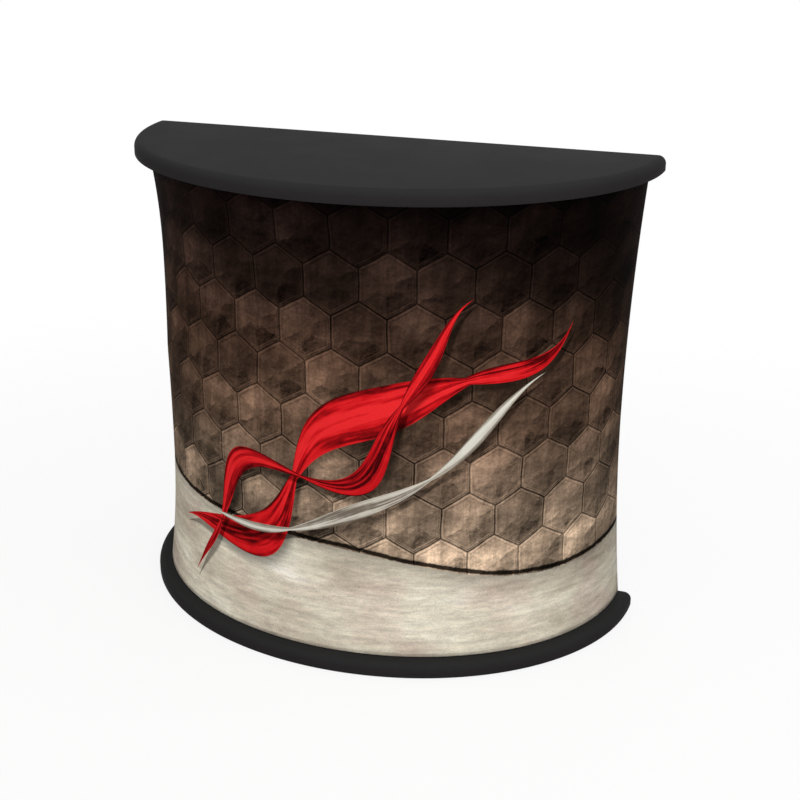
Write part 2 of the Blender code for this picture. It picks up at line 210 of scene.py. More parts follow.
# %% Cut holes
def drilled(mesh, cutter, places):
    """The mesh with a copy of the cutter taken out at each place."""
    block = new_object("block", mesh)
    drills = []
    for place in places:
        drill = new_object("drill", cutter)
        drill.matrix_world = place
        cut = block.modifiers.new("cut", "BOOLEAN")
        cut.operation, cut.object = "DIFFERENCE", drill
        drills.append(drill)
    result = bpy.data.meshes.new_from_object(block.evaluated_get(bpy.context.evaluated_depsgraph_get()))
    result.name = mesh.name
    for thing in (block, *drills):
        bpy.data.objects.remove(thing, do_unlink=True)
    result.set_sharp_from_angle(angle=SHARP)
    return result


# %% [markdown]
# ## Small helpers for materials
#
# A material is a tree of nodes. Clicking them together is quick for one material, but in code each link
# costs a line. This helper adds a node, fills its sockets and hands back one output, so a pattern reads
# like a formula. A value that is a socket is linked, and anything else is typed into the socket.


# %% Add and join shader nodes
class Wires:
    def __init__(self, tree):
        self.tree = tree

    def add(self, kind, sockets=None, output=0, **settings):
        node = self.tree.nodes.new("ShaderNode" + kind)
        for setting, value in settings.items():
            setattr(node, setting, value)
        for socket, value in (sockets or {}).items():
            self.fill(node.inputs[socket], value)
        return node.outputs[output]

    def fill(self, socket, value):
        if isinstance(value, bpy.types.NodeSocket):
            self.tree.links.new(value, socket)
        elif socket.type == "RGBA" and len(value) == 3:
            socket.default_value = (*value, 1.0)
        else:
            socket.default_value = value

    def math(self, operation, *values, clamp=False):
        return self.add("Math", dict(enumerate(values)), operation=operation, use_clamp=clamp)

    def times(self, first, second):
        return self.math("MULTIPLY", first, second)

    def times_plus(self, value, factor, more, clamp=False):
        """The value, multiplied by a factor, and something more."""
        return self.math("MULTIPLY_ADD", value, factor, more, clamp=clamp)

    def vector(self, operation, *values):
        output = "Value" if operation == "LENGTH" else "Vector"
        return self.add("VectorMath", dict(enumerate(values)), output, operation=operation)

    def dim(self, colour, factor):
        """The colour, made darker or lighter by a factor."""
        return self.add("VectorMath", {"Vector": colour, "Scale": factor}, operation="SCALE")

    def parts(self, place):
        return [self.add("SeparateXYZ", {"Vector": place}, axis) for axis in "XYZ"]

    def join(self, x, y, z=0.0):
        return self.add("CombineXYZ", {"X": x, "Y": y, "Z": z})

    def noise(self, place, scale, detail=2.0, roughness=0.5):
        values = {"Vector": place, "Scale": scale, "Detail": detail, "Roughness": roughness}
        return self.add("TexNoise", values)

    def step(self, value, low, high, start=0.0, end=1.0):
        """Goes smoothly from start to end as the value goes from low to high."""
        values = {"Value": value, "From Min": low, "From Max": high, "To Min": start, "To Max": end}
        return self.add("MapRange", values, interpolation_type="SMOOTHSTEP")

    def mix(self, factor, first, second):
        """Blends two colours. Of the node's many sockets, 6, 7 and output 2 are the ones for colours."""
        return self.add("Mix", {0: factor, 6: first, 7: second}, 2, data_type="RGBA")

    def ramp(self, factor, *stops):
        """Blends colours along a line. Each stop is a position and a colour."""
        colours = self.add("ValToRGB", {"Fac": factor})
        band = colours.node.color_ramp
        while len(band.elements) < len(stops):
            band.elements.new(1.0)
        for element, (position, colour) in zip(band.elements, stops):
            element.position, element.color = position, (*colour, 1.0)
        return colours

    def effect(self, group, sockets, output=0):
        """Places a shared node group with this material's own values."""
        return self.add("Group", sockets, output, node_tree=group)


# %% Start a node group, and start a material
def new_effect(name, inputs, outputs):
    """An empty node group with named sockets: its wires, its inputs and its outputs."""
    tree = bpy.data.node_groups.new(name, "ShaderNodeTree")
    for label, value in inputs.items():
        kind = "NodeSocketVector" if value is None else "NodeSocketFloat"
        socket = tree.interface.new_socket(label, in_out="INPUT", socket_type=kind)
        if value is not None:
            socket.default_value = value
    for label, kind in outputs.items():
        tree.interface.new_socket(label, in_out="OUTPUT", socket_type=f"NodeSocket{kind}")
    start, end = tree.nodes.new("NodeGroupInput"), tree.nodes.new("NodeGroupOutput")
    return Wires(tree), start.outputs, end.inputs


def new_finish(name, **plain):
    """A material, with the plain values of its Principled shader: its wires and the shader."""
    made = bpy.data.materials.new(name)
    made.use_nodes = True
    shader = made.node_tree.nodes["Principled BSDF"]
    wires = Wires(made.node_tree)
    for label, value in plain.items():
        wires.fill(shader.inputs[label.replace("_", " ")], value)
    return made, wires, shader.inputs


def bumped(wires, height, depth, strength=1.0):
    """A normal that makes the height look that deep, in metres."""
    return wires.add("Bump", {"Strength": strength, "Distance": depth, "Height": height})


# %% [markdown]
# ## Effects that several finishes share
#
# Black laminate, moulded nylon and anodised metal all have a fine grain, and all go a little paler along
# their edges with use. Each effect is a node group that is built once. A material places it with its own
# sizes.

# %% Fine grain: tiny pits on a slow change of tone
DRIFT_SCALE = 9.0
NOISE_RANGE = (0.3, 0.7)  # a noise rarely leaves it

wires, given, out = new_effect(
    "fine_grain", {"Place": None, "Size": 0.001}, {"Height": "Float", "Tone": "Float"}
)
pits = wires.noise(given["Place"], wires.math("DIVIDE", 1.0, given["Size"]), detail=3.0, roughness=0.6)
drift = wires.noise(given["Place"], DRIFT_SCALE, detail=3.0)
wires.fill(out["Height"], pits)
wires.fill(out["Tone"], wires.step(drift, *NOISE_RANGE))
fine_grain = wires.tree

# %% Edge wear: a broken, paler line where a surface turns over
TURNS_OVER = (0.52, 0.60)  # Pointiness is 0.5 on a flat face, and more on an edge
WEAR_SCALE = 160.0
WEAR_BREAKS = (0.42, 0.68)

wires, given, out = new_effect("edge_wear", {"Place": None, "Amount": 1.0}, {"Mask": "Float"})
ridge = wires.step(wires.add("NewGeometry", output="Pointiness"), *TURNS_OVER)
broken = wires.step(wires.noise(given["Place"], WEAR_SCALE, detail=4.0, roughness=0.7), *WEAR_BREAKS)
wires.fill(out["Mask"], wires.times(wires.times(ridge, broken), given["Amount"]))
edge_wear = wires.tree

# %% Draw lines: the fine upright streaks that a die leaves on metal
STREAK_SCALE = 2600.0
STREAK_STRETCH = 0.012  # a streak is this share as fine along Z as across it

wires, given, out = new_effect("draw_lines", {"Place": None, "Fineness": 1.0}, {"Streak": "Float"})
x, y, z = wires.parts(given["Place"])
squeezed = wires.join(x, y, wires.times(z, STREAK_STRETCH))
across = wires.times(given["Fineness"], STREAK_SCALE)
wires.fill(out["Streak"], wires.noise(squeezed, across, detail=2.0, roughness=0.7))
draw_lines = wires.tree

# %% Weave: the crossing threads of a fine polyester knit
wires, given, out = new_effect("weave", {"Place": None, "Pitch": 0.0006}, {"Height": "Float"})
x, y, z = wires.parts(wires.dim(given["Place"], wires.math("DIVIDE", FULL_TURN, given["Pitch"])))
lengthwise = wires.math("SINE", wires.math("ADD", x, y))
crosswise = wires.math("SINE", wires.math("SUBTRACT", x, y))
both = wires.math("ADD", lengthwise, crosswise)
wires.fill(out["Height"], wires.times_plus(both, 0.25, 0.5))  # from -2..2 to 0..1
weave = wires.tree
print("shared effects:", [group.name for group in bpy.data.node_groups])

# %% [markdown]
# ## Plain finishes
#
# The boards are fibreboard under a matt black foil, and the same foil covers the shelf. A black is never
# quite black: here it is a dark grey whose roughness changes slowly, with pits too small to see from a step
# away that break up the highlight.

# %% Black finishes
EDGE_TURN = "edge_turn"  # on a board: 0 on its flat faces, 1 where its edge has turned down
EDGE_PAINTED_SHADE = (0.972, 0.893, 0.925)  # painted shade: where a board's edge turns down, its colour is made darker and a little warmer
TONE_DRIFT = 0.03  # how far colour and roughness drift, up and down
PIT_SHADE_AND_HIGHLIGHT = (0.86, 1.14)  # painted shade on a pit's floor and painted highlight on its rim, as shares of the plain colour
WORN_SHARE, WORN_LIFT = 1.8, 0.006  # wear multiplies the colour, and lifts it


def scaled(colour, share, lift=0.0):
    return [share * value + lift for value in colour]


def black_finish(name, colour, roughness, grain, depth, wear, **plain):
    """A fine-grained black. Grain is the pits' size, depth is how deep they are, wear is the edges' share."""
    made, wires, shader = new_finish(name, **plain)
    place = wires.add("TexCoord", output="Object")
    grained = {"Place": place, "Size": grain}
    tone, height = (wires.effect(fine_grain, grained, output) for output in ("Tone", "Height"))
    worn = wires.effect(edge_wear, {"Place": place, "Amount": wear})
    even = wires.mix(tone, scaled(colour, 1 - TONE_DRIFT), scaled(colour, 1 + TONE_DRIFT))
    # Painted shade on the pits' floors and painted highlight on their rims
    even = wires.dim(even, wires.step(height, *NOISE_RANGE, *PIT_SHADE_AND_HIGHLIGHT))
    # Painted shade: where a board's edge turns down, the colour is made darker and a little warmer
    edge_shade_share = wires.add("Attribute", output="Fac", attribute_name=EDGE_TURN)
    even = wires.mix(wires.step(edge_shade_share, 0.0, 1.0), even, wires.vector("MULTIPLY", even, EDGE_PAINTED_SHADE))
    wires.fill(shader["Base Color"], wires.mix(worn, even, scaled(colour, WORN_SHARE, WORN_LIFT)))
    smoother, rougher = roughness - TONE_DRIFT, roughness + TONE_DRIFT
    wires.fill(shader["Roughness"], wires.step(tone, 0.0, 1.0, smoother, rougher))
    wires.fill(shader["Normal"], bumped(wires, height, depth))
    return made


BLACK_FOIL = black_finish(
    "black_foil", (0.0243, 0.0243, 0.0243), roughness=0.60, grain=0.0009, depth=0.00004, wear=0.10,
    Specular_IOR_Level=0.008,
)
EDGE_STRIP = black_finish(
    "edge_strip", (0.036, 0.036, 0.037), roughness=0.42, grain=0.0016, depth=0.00005, wear=0.30,
    Specular_IOR_Level=0.16,
)
NYLON = black_finish(
    "moulded_nylon", (0.022, 0.022, 0.023), roughness=0.50, grain=0.0005, depth=0.00004, wear=0.50,
    Specular_IOR_Level=0.40,
)
ANODISED = black_finish(
    "black_anodised", (0.045, 0.045, 0.048), roughness=0.38, grain=0.0004, depth=0.00001, wear=0.80,
    Metallic=1.0,
)
RUBBER = black_finish(
    "foot_rubber", (0.020, 0.020, 0.020), roughness=0.80, grain=0.0007, depth=0.00006, wear=0.30,
    Specular_IOR_Level=0.20,
)

# %% Bright metal finishes
STREAK_RANGE = (0.2, 0.8)
STREAK_TONE = 0.88  # a streak's share of the plain colour
STREAK_ROUGHNESS = (-0.07, 0.09)  # what it takes off the roughness, and adds to it
STREAK_DEPTH = 0.000012
HAZE = (0.42, 0.42, 0.42)
HAZE_SHARE = 0.25


def metal_finish(name, colour, roughness, fineness):
    """Bare metal with streaks along Z that change its roughness and, a little, its tone."""
    made, wires, shader = new_finish(name, Metallic=1.0)
    place = wires.add("TexCoord", output="Object")
    streak = wires.effect(draw_lines, {"Place": place, "Fineness": fineness})
    hazy = wires.times(wires.effect(fine_grain, {"Place": place}, "Tone"), HAZE_SHARE)
    streaked = wires.mix(streak, scaled(colour, STREAK_TONE), colour)
    smoother, rougher = (roughness + change for change in STREAK_ROUGHNESS)
    wires.fill(shader["Base Color"], wires.mix(hazy, streaked, HAZE))
    wires.fill(shader["Roughness"], wires.step(streak, *STREAK_RANGE, smoother, rougher))
    wires.fill(shader["Normal"], bumped(wires, streak, STREAK_DEPTH))
    return made


DRAWN_ALUMINIUM = metal_finish("drawn_aluminium", (0.62, 0.63, 0.64), roughness=0.30, fineness=1.0)
NICKEL = metal_finish("nickel_plate", (0.60, 0.58, 0.55), roughness=0.18, fineness=0.4)
SPRING_STEEL = metal_finish("spring_steel", (0.38, 0.37, 0.36), roughness=0.30, fineness=0.7)
ZINC = metal_finish("zinc_plate", (0.52, 0.53, 0.55), roughness=0.30, fineness=0.5)

# %% Silicone: milky, and it lets a little light through
MILKY = ((0.52, 0.52, 0.50), (0.62, 0.62, 0.59))
MILKY_ROUGHNESS = (0.38, 0.48)

SILICONE, wires, shader = new_finish("silicone", Transmission_Weight=0.3, IOR=1.41)
milk = wires.effect(fine_grain, {"Place": wires.add("TexCoord", output="Object")}, "Tone")
wires.fill(shader["Base Color"], wires.mix(milk, *MILKY))
wires.fill(shader["Roughness"], wires.step(milk, 0.0, 1.0, *MILKY_ROUGHNESS))
print("plain finishes:", [material.name for material in bpy.data.materials if material.users])

# %% [markdown]
# ## The boards
#
# Both boards are the same: half an ellipse, square at the back, with a large quarter-round on the upper
# edge of the curved side. Computing the outline would work, but a circle that is stretched and cut in half
# is simpler, and extrude and bevel then do the rest. The flat back carries a thin glued edge strip. Slicing
# the finished board just behind its back face gives that strip the right outline for nothing.

# %% Shape half a round plate, and slice it
BOARD_SEGMENTS = 256


def whole(bm):
    return [*bm.verts, *bm.edges, *bm.faces]


def half_round_plate(thickness):
    """Half an ellipse of the boards' size, with its lower face at height zero."""
    bm = bmesh.new()
    bmesh.ops.create_circle(bm, cap_ends=True, segments=BOARD_SEGMENTS, radius=1.0)
    bmesh.ops.scale(bm, vec=(HALF_WIDTH, DEPTH, 1), verts=bm.verts)
    bmesh.ops.bisect_plane(
        bm, geom=whole(bm), dist=WELD, plane_co=(0, 0, 0), plane_no=(0, 1, 0), clear_outer=True
    )
    bmesh.ops.translate(bm, vec=(0, BACK, 0), verts=bm.verts)
    raised = bmesh.ops.extrude_face_region(bm, geom=bm.faces[:])
    bmesh.ops.translate(bm, vec=(0, 0, thickness), verts=only(bmesh.types.BMVert, raised["geom"]))
    return bm


def sliced(bm, y, keep_back):
    """Cuts across the board at y, and closes the cut."""
    cut = bmesh.ops.bisect_plane(
        bm, geom=whole(bm), dist=WELD, plane_co=(0, y, 0), plane_no=(0, 1, 0),
        clear_inner=keep_back, clear_outer=not keep_back,
    )
    bmesh.ops.holes_fill(bm, edges=only(bmesh.types.BMEdge, cut["geom_cut"]), sides=0)
    return bm


# %% Round a board's curved side, and part it from its edge strip
BOARD_EDGE_RADIUS = 0.016
BOARD_EDGE_STEPS = 8
LOWER_EASE = 0.0012
STRIP_THICKNESS = 0.0010
STRIP_EASE = 0.00025


def round_rim(bm, height):
    """The corners of the curved side that lie at this height."""
    rim = []
    for edge in sharp_edges(bm):
        level = all(abs(corner.co.z - height) < WELD for corner in edge.verts)
        on_back = all(abs(corner.co.y - BACK) < WELD for corner in edge.verts)
        if level and not on_back:
            rim.append(edge)
    return rim


board = half_round_plate(BOARD_THICKNESS)
rounded(board, round_rim(board, BOARD_THICKNESS), BOARD_EDGE_RADIUS, BOARD_EDGE_STEPS)
rounded(board, round_rim(board, 0), LOWER_EASE)
# This share also sets where the foil's colour gets its painted shade
turn_layer = board.verts.layers.float.new(EDGE_TURN)
for vert in board.verts:
    drop = (BOARD_THICKNESS - vert.co.z) / BOARD_EDGE_RADIUS
    vert[turn_layer] = min(1.0, drop) if vert.co.z > WELD else 0.0
strip = board.copy()
sliced(board, BACK - STRIP_THICKNESS, keep_back=False)
sliced(strip, BACK - STRIP_THICKNESS, keep_back=True)
rounded(strip, sharp_edges(strip), STRIP_EASE)
board_mesh = mesh_of("board_panel", board, BLACK_FOIL)
strip_mesh = mesh_of("edge_strip", strip, EDGE_STRIP)

# %% Show both boards
for level, node in (("base", "base_board"), ("top", "top_board")):
    place = Matrix.Translation((0, 0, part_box(node)[0].z))
    show(f"{level}_panel", board_mesh, instead_of=[node], place=place)
    show(f"{level}_edge_strip", strip_mesh, place=place)
print(f"board: {len(board_mesh.polygons)} faces, edge strip: {len(strip_mesh.polygons)} faces")

# %% [markdown]
# ## The surface of the fabric
#
# The fabric is held at the boards and pushed out by the shelf's edge. Between them its own tension draws it
# in, so each bay has a shallow hollow. Its rear edges are held by nothing but the boards, so they bow in
# once over the whole height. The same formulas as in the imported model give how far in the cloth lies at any
# angle and height.

# %% How far the cloth lies behind the boards' edge
CLOTH_LOW, CLOTH_HIGH = (corner.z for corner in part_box("graphic_wrap"))
RIM_INSET = 0.0296  # where a board holds it
SHELF_INSET = 0.0452  # on the shelf's edge
FRONT_HOLLOW = 0.0183  # how much deeper than at the rim a bay's hollow is
CORNER_BOW = 0.0220  # how much deeper the free rear edges bow
DEEPEST_SHARE = 0.44  # where the hollow is deepest, from the shelf to the board
CORNER_DEEPEST_SHARE = 0.45  # where the bow is deepest, from the lower board to the upper
HOLLOW_POWER = 2.2
FREE_EDGE_ANGLE = math.radians(30)  # past this angle from a rear edge, only the front's shape counts


def front_inset(z):
    if SHELF_UNDERSIDE <= z <= SHELF_TOP:
        return SHELF_INSET
    near, far = (SHELF_TOP, TOP_UNDERSIDE) if z > SHELF_TOP else (SHELF_UNDERSIDE, BASE_TOP)
    share = (z - near) / (far - near)
    deepest = RIM_INSET + FRONT_HOLLOW
    if share < DEEPEST_SHARE:
        return deepest - (deepest - SHELF_INSET) * (1 - share / DEEPEST_SHARE) ** 2
    return deepest - FRONT_HOLLOW * ((share - DEEPEST_SHARE) / (1 - DEEPEST_SHARE)) ** HOLLOW_POWER


def corner_inset(z):
    share = (z - BASE_TOP) / (TOP_UNDERSIDE - BASE_TOP)
    side = CORNER_DEEPEST_SHARE if share < CORNER_DEEPEST_SHARE else 1 - CORNER_DEEPEST_SHARE
    return RIM_INSET + CORNER_BOW * (1 - ((share - CORNER_DEEPEST_SHARE) / side) ** 2)


def cloth_inset(angle, z):
    share = min(max(min(angle, math.pi - angle) / FREE_EDGE_ANGLE, 0.0), 1.0)
    return corner_inset(z) + (front_inset(z) - corner_inset(z)) * share * share * (3 - 2 * share)


def cloth_point(angle, z, depth=0.0):
    """A point on the cloth's face, or some depth behind it."""
    return on_curve(angle, cloth_inset(angle, z) + depth, z)


# %% Measure along the cloth
CLOTH_COLUMNS = 240


def column_angle(column):
    """Angles of the cloth's columns, from its left rear edge to its right one."""
    return math.pi * (1 - column / CLOTH_COLUMNS)


column_lengths = [0.0]
for column in range(CLOTH_COLUMNS):
    here, there = (on_curve(column_angle(column + side), RIM_INSET, 0) for side in (0, 1))
    column_lengths.append(column_lengths[-1] + (there - here).length)
CLOTH_LENGTH = column_lengths[-1]
CLOTH_HEIGHT = CLOTH_HIGH - CLOTH_LOW
print(f"the cloth is {CLOTH_LENGTH:.3f} long and {CLOTH_HEIGHT:.3f} high")

# %% [markdown]
# ## The printed design
#
# The print is a wall of embossed hexagons in worn, dark brown, above a pale waving band, with a bright red
# ribbon blown across both. An image would be one way to print it. Here it is worked out by nodes from the
# place on the flat cloth, in metres, so it stays sharp however near the camera comes. Each motif is its own
# small group, and what wears it, such as dents, scratches, stains and pits, is made of noises of many
# sizes.

# %% Hexagons: where a point lies in its cell, and which cell that is
HEX_ROW = math.sqrt(3)  # hexagons lie on two square-cornered grids, one shifted by half a cell
HALF_CELL = Vector((0.5, HEX_ROW / 2, 1.0))

wires, given, out = new_effect(
    "hexagon_cells", {"Place": None, "Size": 0.1}, {"Inside": "Vector", "Cell": "Vector", "Reach": "Float"}
)
grid = wires.vector("DIVIDE", given["Place"], wires.join(given["Size"], given["Size"], 1.0))
shifted = wires.vector("SUBTRACT", grid, (0.5, HEX_ROW / 2, 0.0))
first, second = (wires.vector("WRAP", lattice, HALF_CELL, -HALF_CELL) for lattice in (grid, shifted))
nearer = wires.math("LESS_THAN", wires.vector("LENGTH", first), wires.vector("LENGTH", second))
inside = wires.mix(nearer, second, first)
x_size, y_size, z_size = wires.parts(wires.vector("ABSOLUTE", inside))
slanted = wires.times_plus(y_size, HEX_ROW / 2, wires.times(x_size, 0.5))
wires.fill(out["Inside"], inside)
wires.fill(out["Cell"], wires.vector("SUBTRACT", grid, inside))
wires.fill(out["Reach"], wires.times(wires.math("MAXIMUM", x_size, slanted), 2.0))
hexagon_cells = wires.tree

# %% Dents: a noise, less the same noise a little nearer to the light
TOWARDS_LIGHT = (-0.5, 0.86, 0.0)

wires, given, out = new_effect("dents", {"Place": None, "Size": 0.05, "Reach": 0.005}, {"Light": "Float"})
scale = wires.math("DIVIDE", 1.0, given["Size"])
nearer_place = wires.vector("ADD", given["Place"], wires.dim(TOWARDS_LIGHT, given["Reach"]))
places = (given["Place"], nearer_place)
here, there = (wires.noise(place, scale, detail=3.0, roughness=0.55) for place in places)
wires.fill(out["Light"], wires.math("SUBTRACT", here, there))
dents = wires.tree

# %% Scratches: thin broken lines, from a noise that is stretched along one way
SCRATCH_SCALES = (5.0, 260.0)  # along a scratch, and across it
PATCH_SCALE = 11.0  # scratches come in patches
PATCHES = (0.50, 0.62)
THIN_LINES = (0.70, 0.76)

wires, given, out = new_effect("scratches", {"Place": None, "Angle": 0.5, "Fineness": 1.0}, {"Mask": "Float"})
lined_up = wires.add(
    "VectorRotate", {"Vector": given["Place"], "Angle": given["Angle"]}, rotation_type="Z_AXIS"
)
stretch = wires.join(*(wires.times(given["Fineness"], scale) for scale in SCRATCH_SCALES))
lines = wires.noise(wires.vector("MULTIPLY", lined_up, stretch), 1.0, detail=1.0)
patches = wires.step(wires.noise(given["Place"], PATCH_SCALE), *PATCHES)
wires.fill(out["Mask"], wires.times(wires.step(lines, *THIN_LINES), patches))
scratches = wires.tree


# %% Layers of wear: noises with a name, and what each does to the light
def noises_of(wires, place, table):
    """Named noises. Each has its scale along the cloth and up it, its detail and its roughness."""
    made = {}
    for name, (along, up, detail, roughness) in table.items():
        made[name] = wires.noise(wires.vector("MULTIPLY", place, (along, up, 1.0)), 1.0, detail, roughness)
    return made


def shaded(wires, light, noises, shades):
    """The light, multiplied by each shade: a noise, its low and high ends, and what they multiply by."""
    for name, low, high, darkest, lightest in shades:
        light = wires.times(light, wires.step(noises[name], low, high, darkest, lightest))
    return light


def ring(wires, value, rise, fall):
    """One between a rise and a fall, and zero outside them."""
    return wires.math("SUBTRACT", wires.step(value, *rise), wires.step(value, *fall))


def specks(wires, place, scale, size, where):
    """Small dots, each at its own point, where a mask lets them show."""
    nearest = wires.add("TexVoronoi", {"Vector": place, "Scale": scale}, "Distance")
    return wires.times(wires.step(nearest, *size, 1.0, 0.0), where)


# %% The embossed wall: bend its hexagons a little, and light their facets
WOBBLE = {"Scale": 12.0, "Detail": 5.0, "Roughness": 0.6}
WOBBLE_REACH = 0.009
WALL_NOISES = {
    # scale along the cloth, scale up it, detail, roughness
    "blotch": (8.0, 8.0, 6.0, 0.62),
    "cloud": (3.1, 3.1, 5.0, 0.55),
    "stain": (46.0, 4.0, 4.0, 0.68),
    "dirt": (150.0, 150.0, 5.0, 0.72),
    "chipped": (27.0, 27.0, 2.0, 0.50),
}
SIXTH = math.pi / 3
LIGHT_ANGLE = math.radians(118)
WAVER = (24.0, 0.8)  # scale and size, in radians, of the waver in a facet's sides
FLAT_TOP = (0.14, 0.42)  # shares of a hexagon's reach, where its flat middle turns into facets
WORN_FACETS = (0.35, 0.65, 0.30, 0.72)
BIG_DENTS = ({"Size": 0.070, "Reach": 0.008}, 2.6)
SMALL_DENTS = ({"Size": 0.013, "Reach": 0.0016}, 2.0)
PLAIN_LIGHT = 1.02

wires, given, out = new_effect("embossed_wall", {"Place": None, "Size": 0.112}, {"Light": "Float"})
place = given["Place"]
wobble = wires.add("TexNoise", {"Vector": place, **WOBBLE}, "Color")
shake = wires.dim(wires.vector("SUBTRACT", wobble, (0.5, 0.5, 0.5)), WOBBLE_REACH)
bent = wires.vector("MULTIPLY", wires.vector("ADD", place, shake), (1, 1, 0))
cells = {"Place": bent, "Size": given["Size"]}
inside, cell, reach = (wires.effect(hexagon_cells, cells, name) for name in ("Inside", "Cell", "Reach"))
noises = noises_of(wires, place, WALL_NOISES)
x, y, z = wires.parts(inside)
waver = wires.times_plus(wires.noise(place, WAVER[0]), WAVER[1], -WAVER[1] / 2)
bearing = wires.math("ADD", wires.math("ARCTAN2", y, x), waver)
sector = wires.math("ROUND", wires.math("DIVIDE", bearing, SIXTH))
facing = wires.math("COSINE", wires.times_plus(sector, SIXTH, -LIGHT_ANGLE))
worn = wires.step(noises["blotch"], *WORN_FACETS)
facet = wires.times(wires.times(facing, wires.step(reach, *FLAT_TOP)), worn)
light = wires.math("ADD", facet, PLAIN_LIGHT)
for sizes, strength in (BIG_DENTS, SMALL_DENTS):
    light = wires.times_plus(wires.effect(dents, {"Place": place, **sizes}), strength, light)

# %% Frame each hexagon, and wear the wall
FRAME_WALL = ((0.835, 0.860), (0.875, 0.905))  # shares of the reach, where the frame round a hexagon slopes
LIP = ((0.915, 0.940), (0.950, 0.965))
GROOVE = (0.962, 0.982)
GROOVE_LIGHT = (1.1, -0.22)  # what the blotches are multiplied by, and what is added
FRAME_SHADE, LIP_LIGHT, SCRATCH_LIGHT, CHIP_LIGHT = -0.60, 0.75, 0.40, 1.3
CHIP_SCALE = 95.0
CHIP_SIZE = (0.07, 0.15)
CHIP_PATCHES = (0.58, 0.70)
WALL_SHADES = (
    # a noise, its low and high ends, and what the light is multiplied by at each
    ("chance", 0.0, 1.0, 0.76, 1.22),
    ("cloud", 0.36, 0.66, 0.52, 1.42),
    ("blotch", 0.30, 0.72, 0.62, 1.40),
    ("stain", 0.25, 0.75, 0.74, 1.22),
    ("dirt", 0.25, 0.75, 0.74, 1.26),
)
WALL_SCRATCHES = ({"Angle": 0.7, "Fineness": 1.0}, {"Angle": -0.35, "Fineness": 1.4})

frame_wall = wires.times(ring(wires, reach, *FRAME_WALL), facing)
light = wires.times_plus(frame_wall, FRAME_SHADE, light)
noises["chance"] = wires.add("TexWhiteNoise", {"Vector": wires.vector("ADD", cell, (0.37, 0.61, 0.0))})
light = shaded(wires, light, noises, WALL_SHADES)
rubbed_lip = wires.times(ring(wires, reach, *LIP), noises["dirt"])
light = wires.times_plus(rubbed_lip, LIP_LIGHT, light)
in_groove = wires.times_plus(noises["blotch"], *GROOVE_LIGHT, clamp=True)
light = wires.times(light, wires.step(reach, *GROOVE, 1.0, in_groove))
for sockets in WALL_SCRATCHES:
    scratched = wires.effect(scratches, {"Place": place, **sockets})
    light = wires.times_plus(scratched, SCRATCH_LIGHT, light)
chips = specks(wires, place, CHIP_SCALE, CHIP_SIZE, wires.step(noises["chipped"], *CHIP_PATCHES))
wires.fill(out["Light"], wires.times_plus(chips, CHIP_LIGHT, light))
embossed_wall = wires.tree

# %% The pale band: worn, creamy plaster with dark scuffs
PLASTER_TONES = (
    (0.26, (0.430, 0.360, 0.280)), (0.42, (0.690, 0.605, 0.480)), (0.56, (0.860, 0.795, 0.640)),
    (0.70, (1.000, 0.970, 0.845)),
)
BLUSH_TINT = (0.985, 0.930, 0.955)
BLUSH_PATCHES = (0.46, 0.66)
PLASTER_NOISES = {
    "mottle": (3.4, 9.5, 5.0, 0.58),
    "blush": (6.0, 6.0, 3.0, 0.50),
    "trowel": (10.0, 85.0, 5.0, 0.62),
    "crumb": (34.0, 95.0, 6.0, 0.76),
    "sand": (260.0, 260.0, 3.0, 0.80),
    "pitted": (13.0, 13.0, 2.0, 0.50),
}
PLASTER_SHADES = (
    ("trowel", 0.28, 0.72, 0.86, 1.13),
    ("crumb", 0.34, 0.66, 0.88, 1.11),
    ("sand", 0.34, 0.66, 0.90, 1.08),
)
PIT_SCALE = 120.0
PIT_SIZE = (0.06, 0.16)
PIT_PATCHES = (0.50, 0.62)
PIT_DARKNESS = 0.75
SCUFFS = {"Angle": -0.12, "Fineness": 0.8}
SCUFF_DARKNESS = 0.30

wires, given, out = new_effect("pale_plaster", {"Place": None}, {"Colour": "Color"})
place = given["Place"]
noises = noises_of(wires, place, PLASTER_NOISES)
colour = wires.ramp(noises["mottle"], *PLASTER_TONES)
blushing = wires.vector("MULTIPLY", colour, BLUSH_TINT)
colour = wires.mix(wires.step(noises["blush"], *BLUSH_PATCHES), colour, blushing)
colour = wires.dim(colour, shaded(wires, 1.0, noises, PLASTER_SHADES))
pits = specks(wires, place, PIT_SCALE, PIT_SIZE, wires.step(noises["pitted"], *PIT_PATCHES))
scuffs = wires.effect(scratches, {"Place": place, **SCUFFS})
dark_pits, dark_scuffs = wires.times(pits, PIT_DARKNESS), wires.times(scuffs, SCUFF_DARKNESS)
marks = wires.math("MAXIMUM", dark_pits, dark_scuffs)
wires.fill(out["Colour"], wires.dim(colour, wires.math("SUBTRACT", 1.0, marks)))
pale_plaster = wires.tree

# %% A ribbon strand: its outline, and the shadow it throws
RIPPLE_RATE, RIPPLE_SHARE = 1.9, 0.30  # a smaller wave that rides on the big one
TAPER_START = 0.45  # share of the reach where a strand starts to narrow
EDGE_ON_SHARE = 0.18  # how much of its width a strand still shows where it is turned edge-on
THINNEST = (0.0003, 0.0009)  # between these half-widths a strand's tip fades out
NOT_ZERO = 0.00001  # a half-width that a division can take
STRAND_EDGE = (0.97, 1.03)
SHADOW_DROP = 0.016
SHADOW_SPREAD = 1.15
SHADOW_EDGE = (0.55, 1.35)

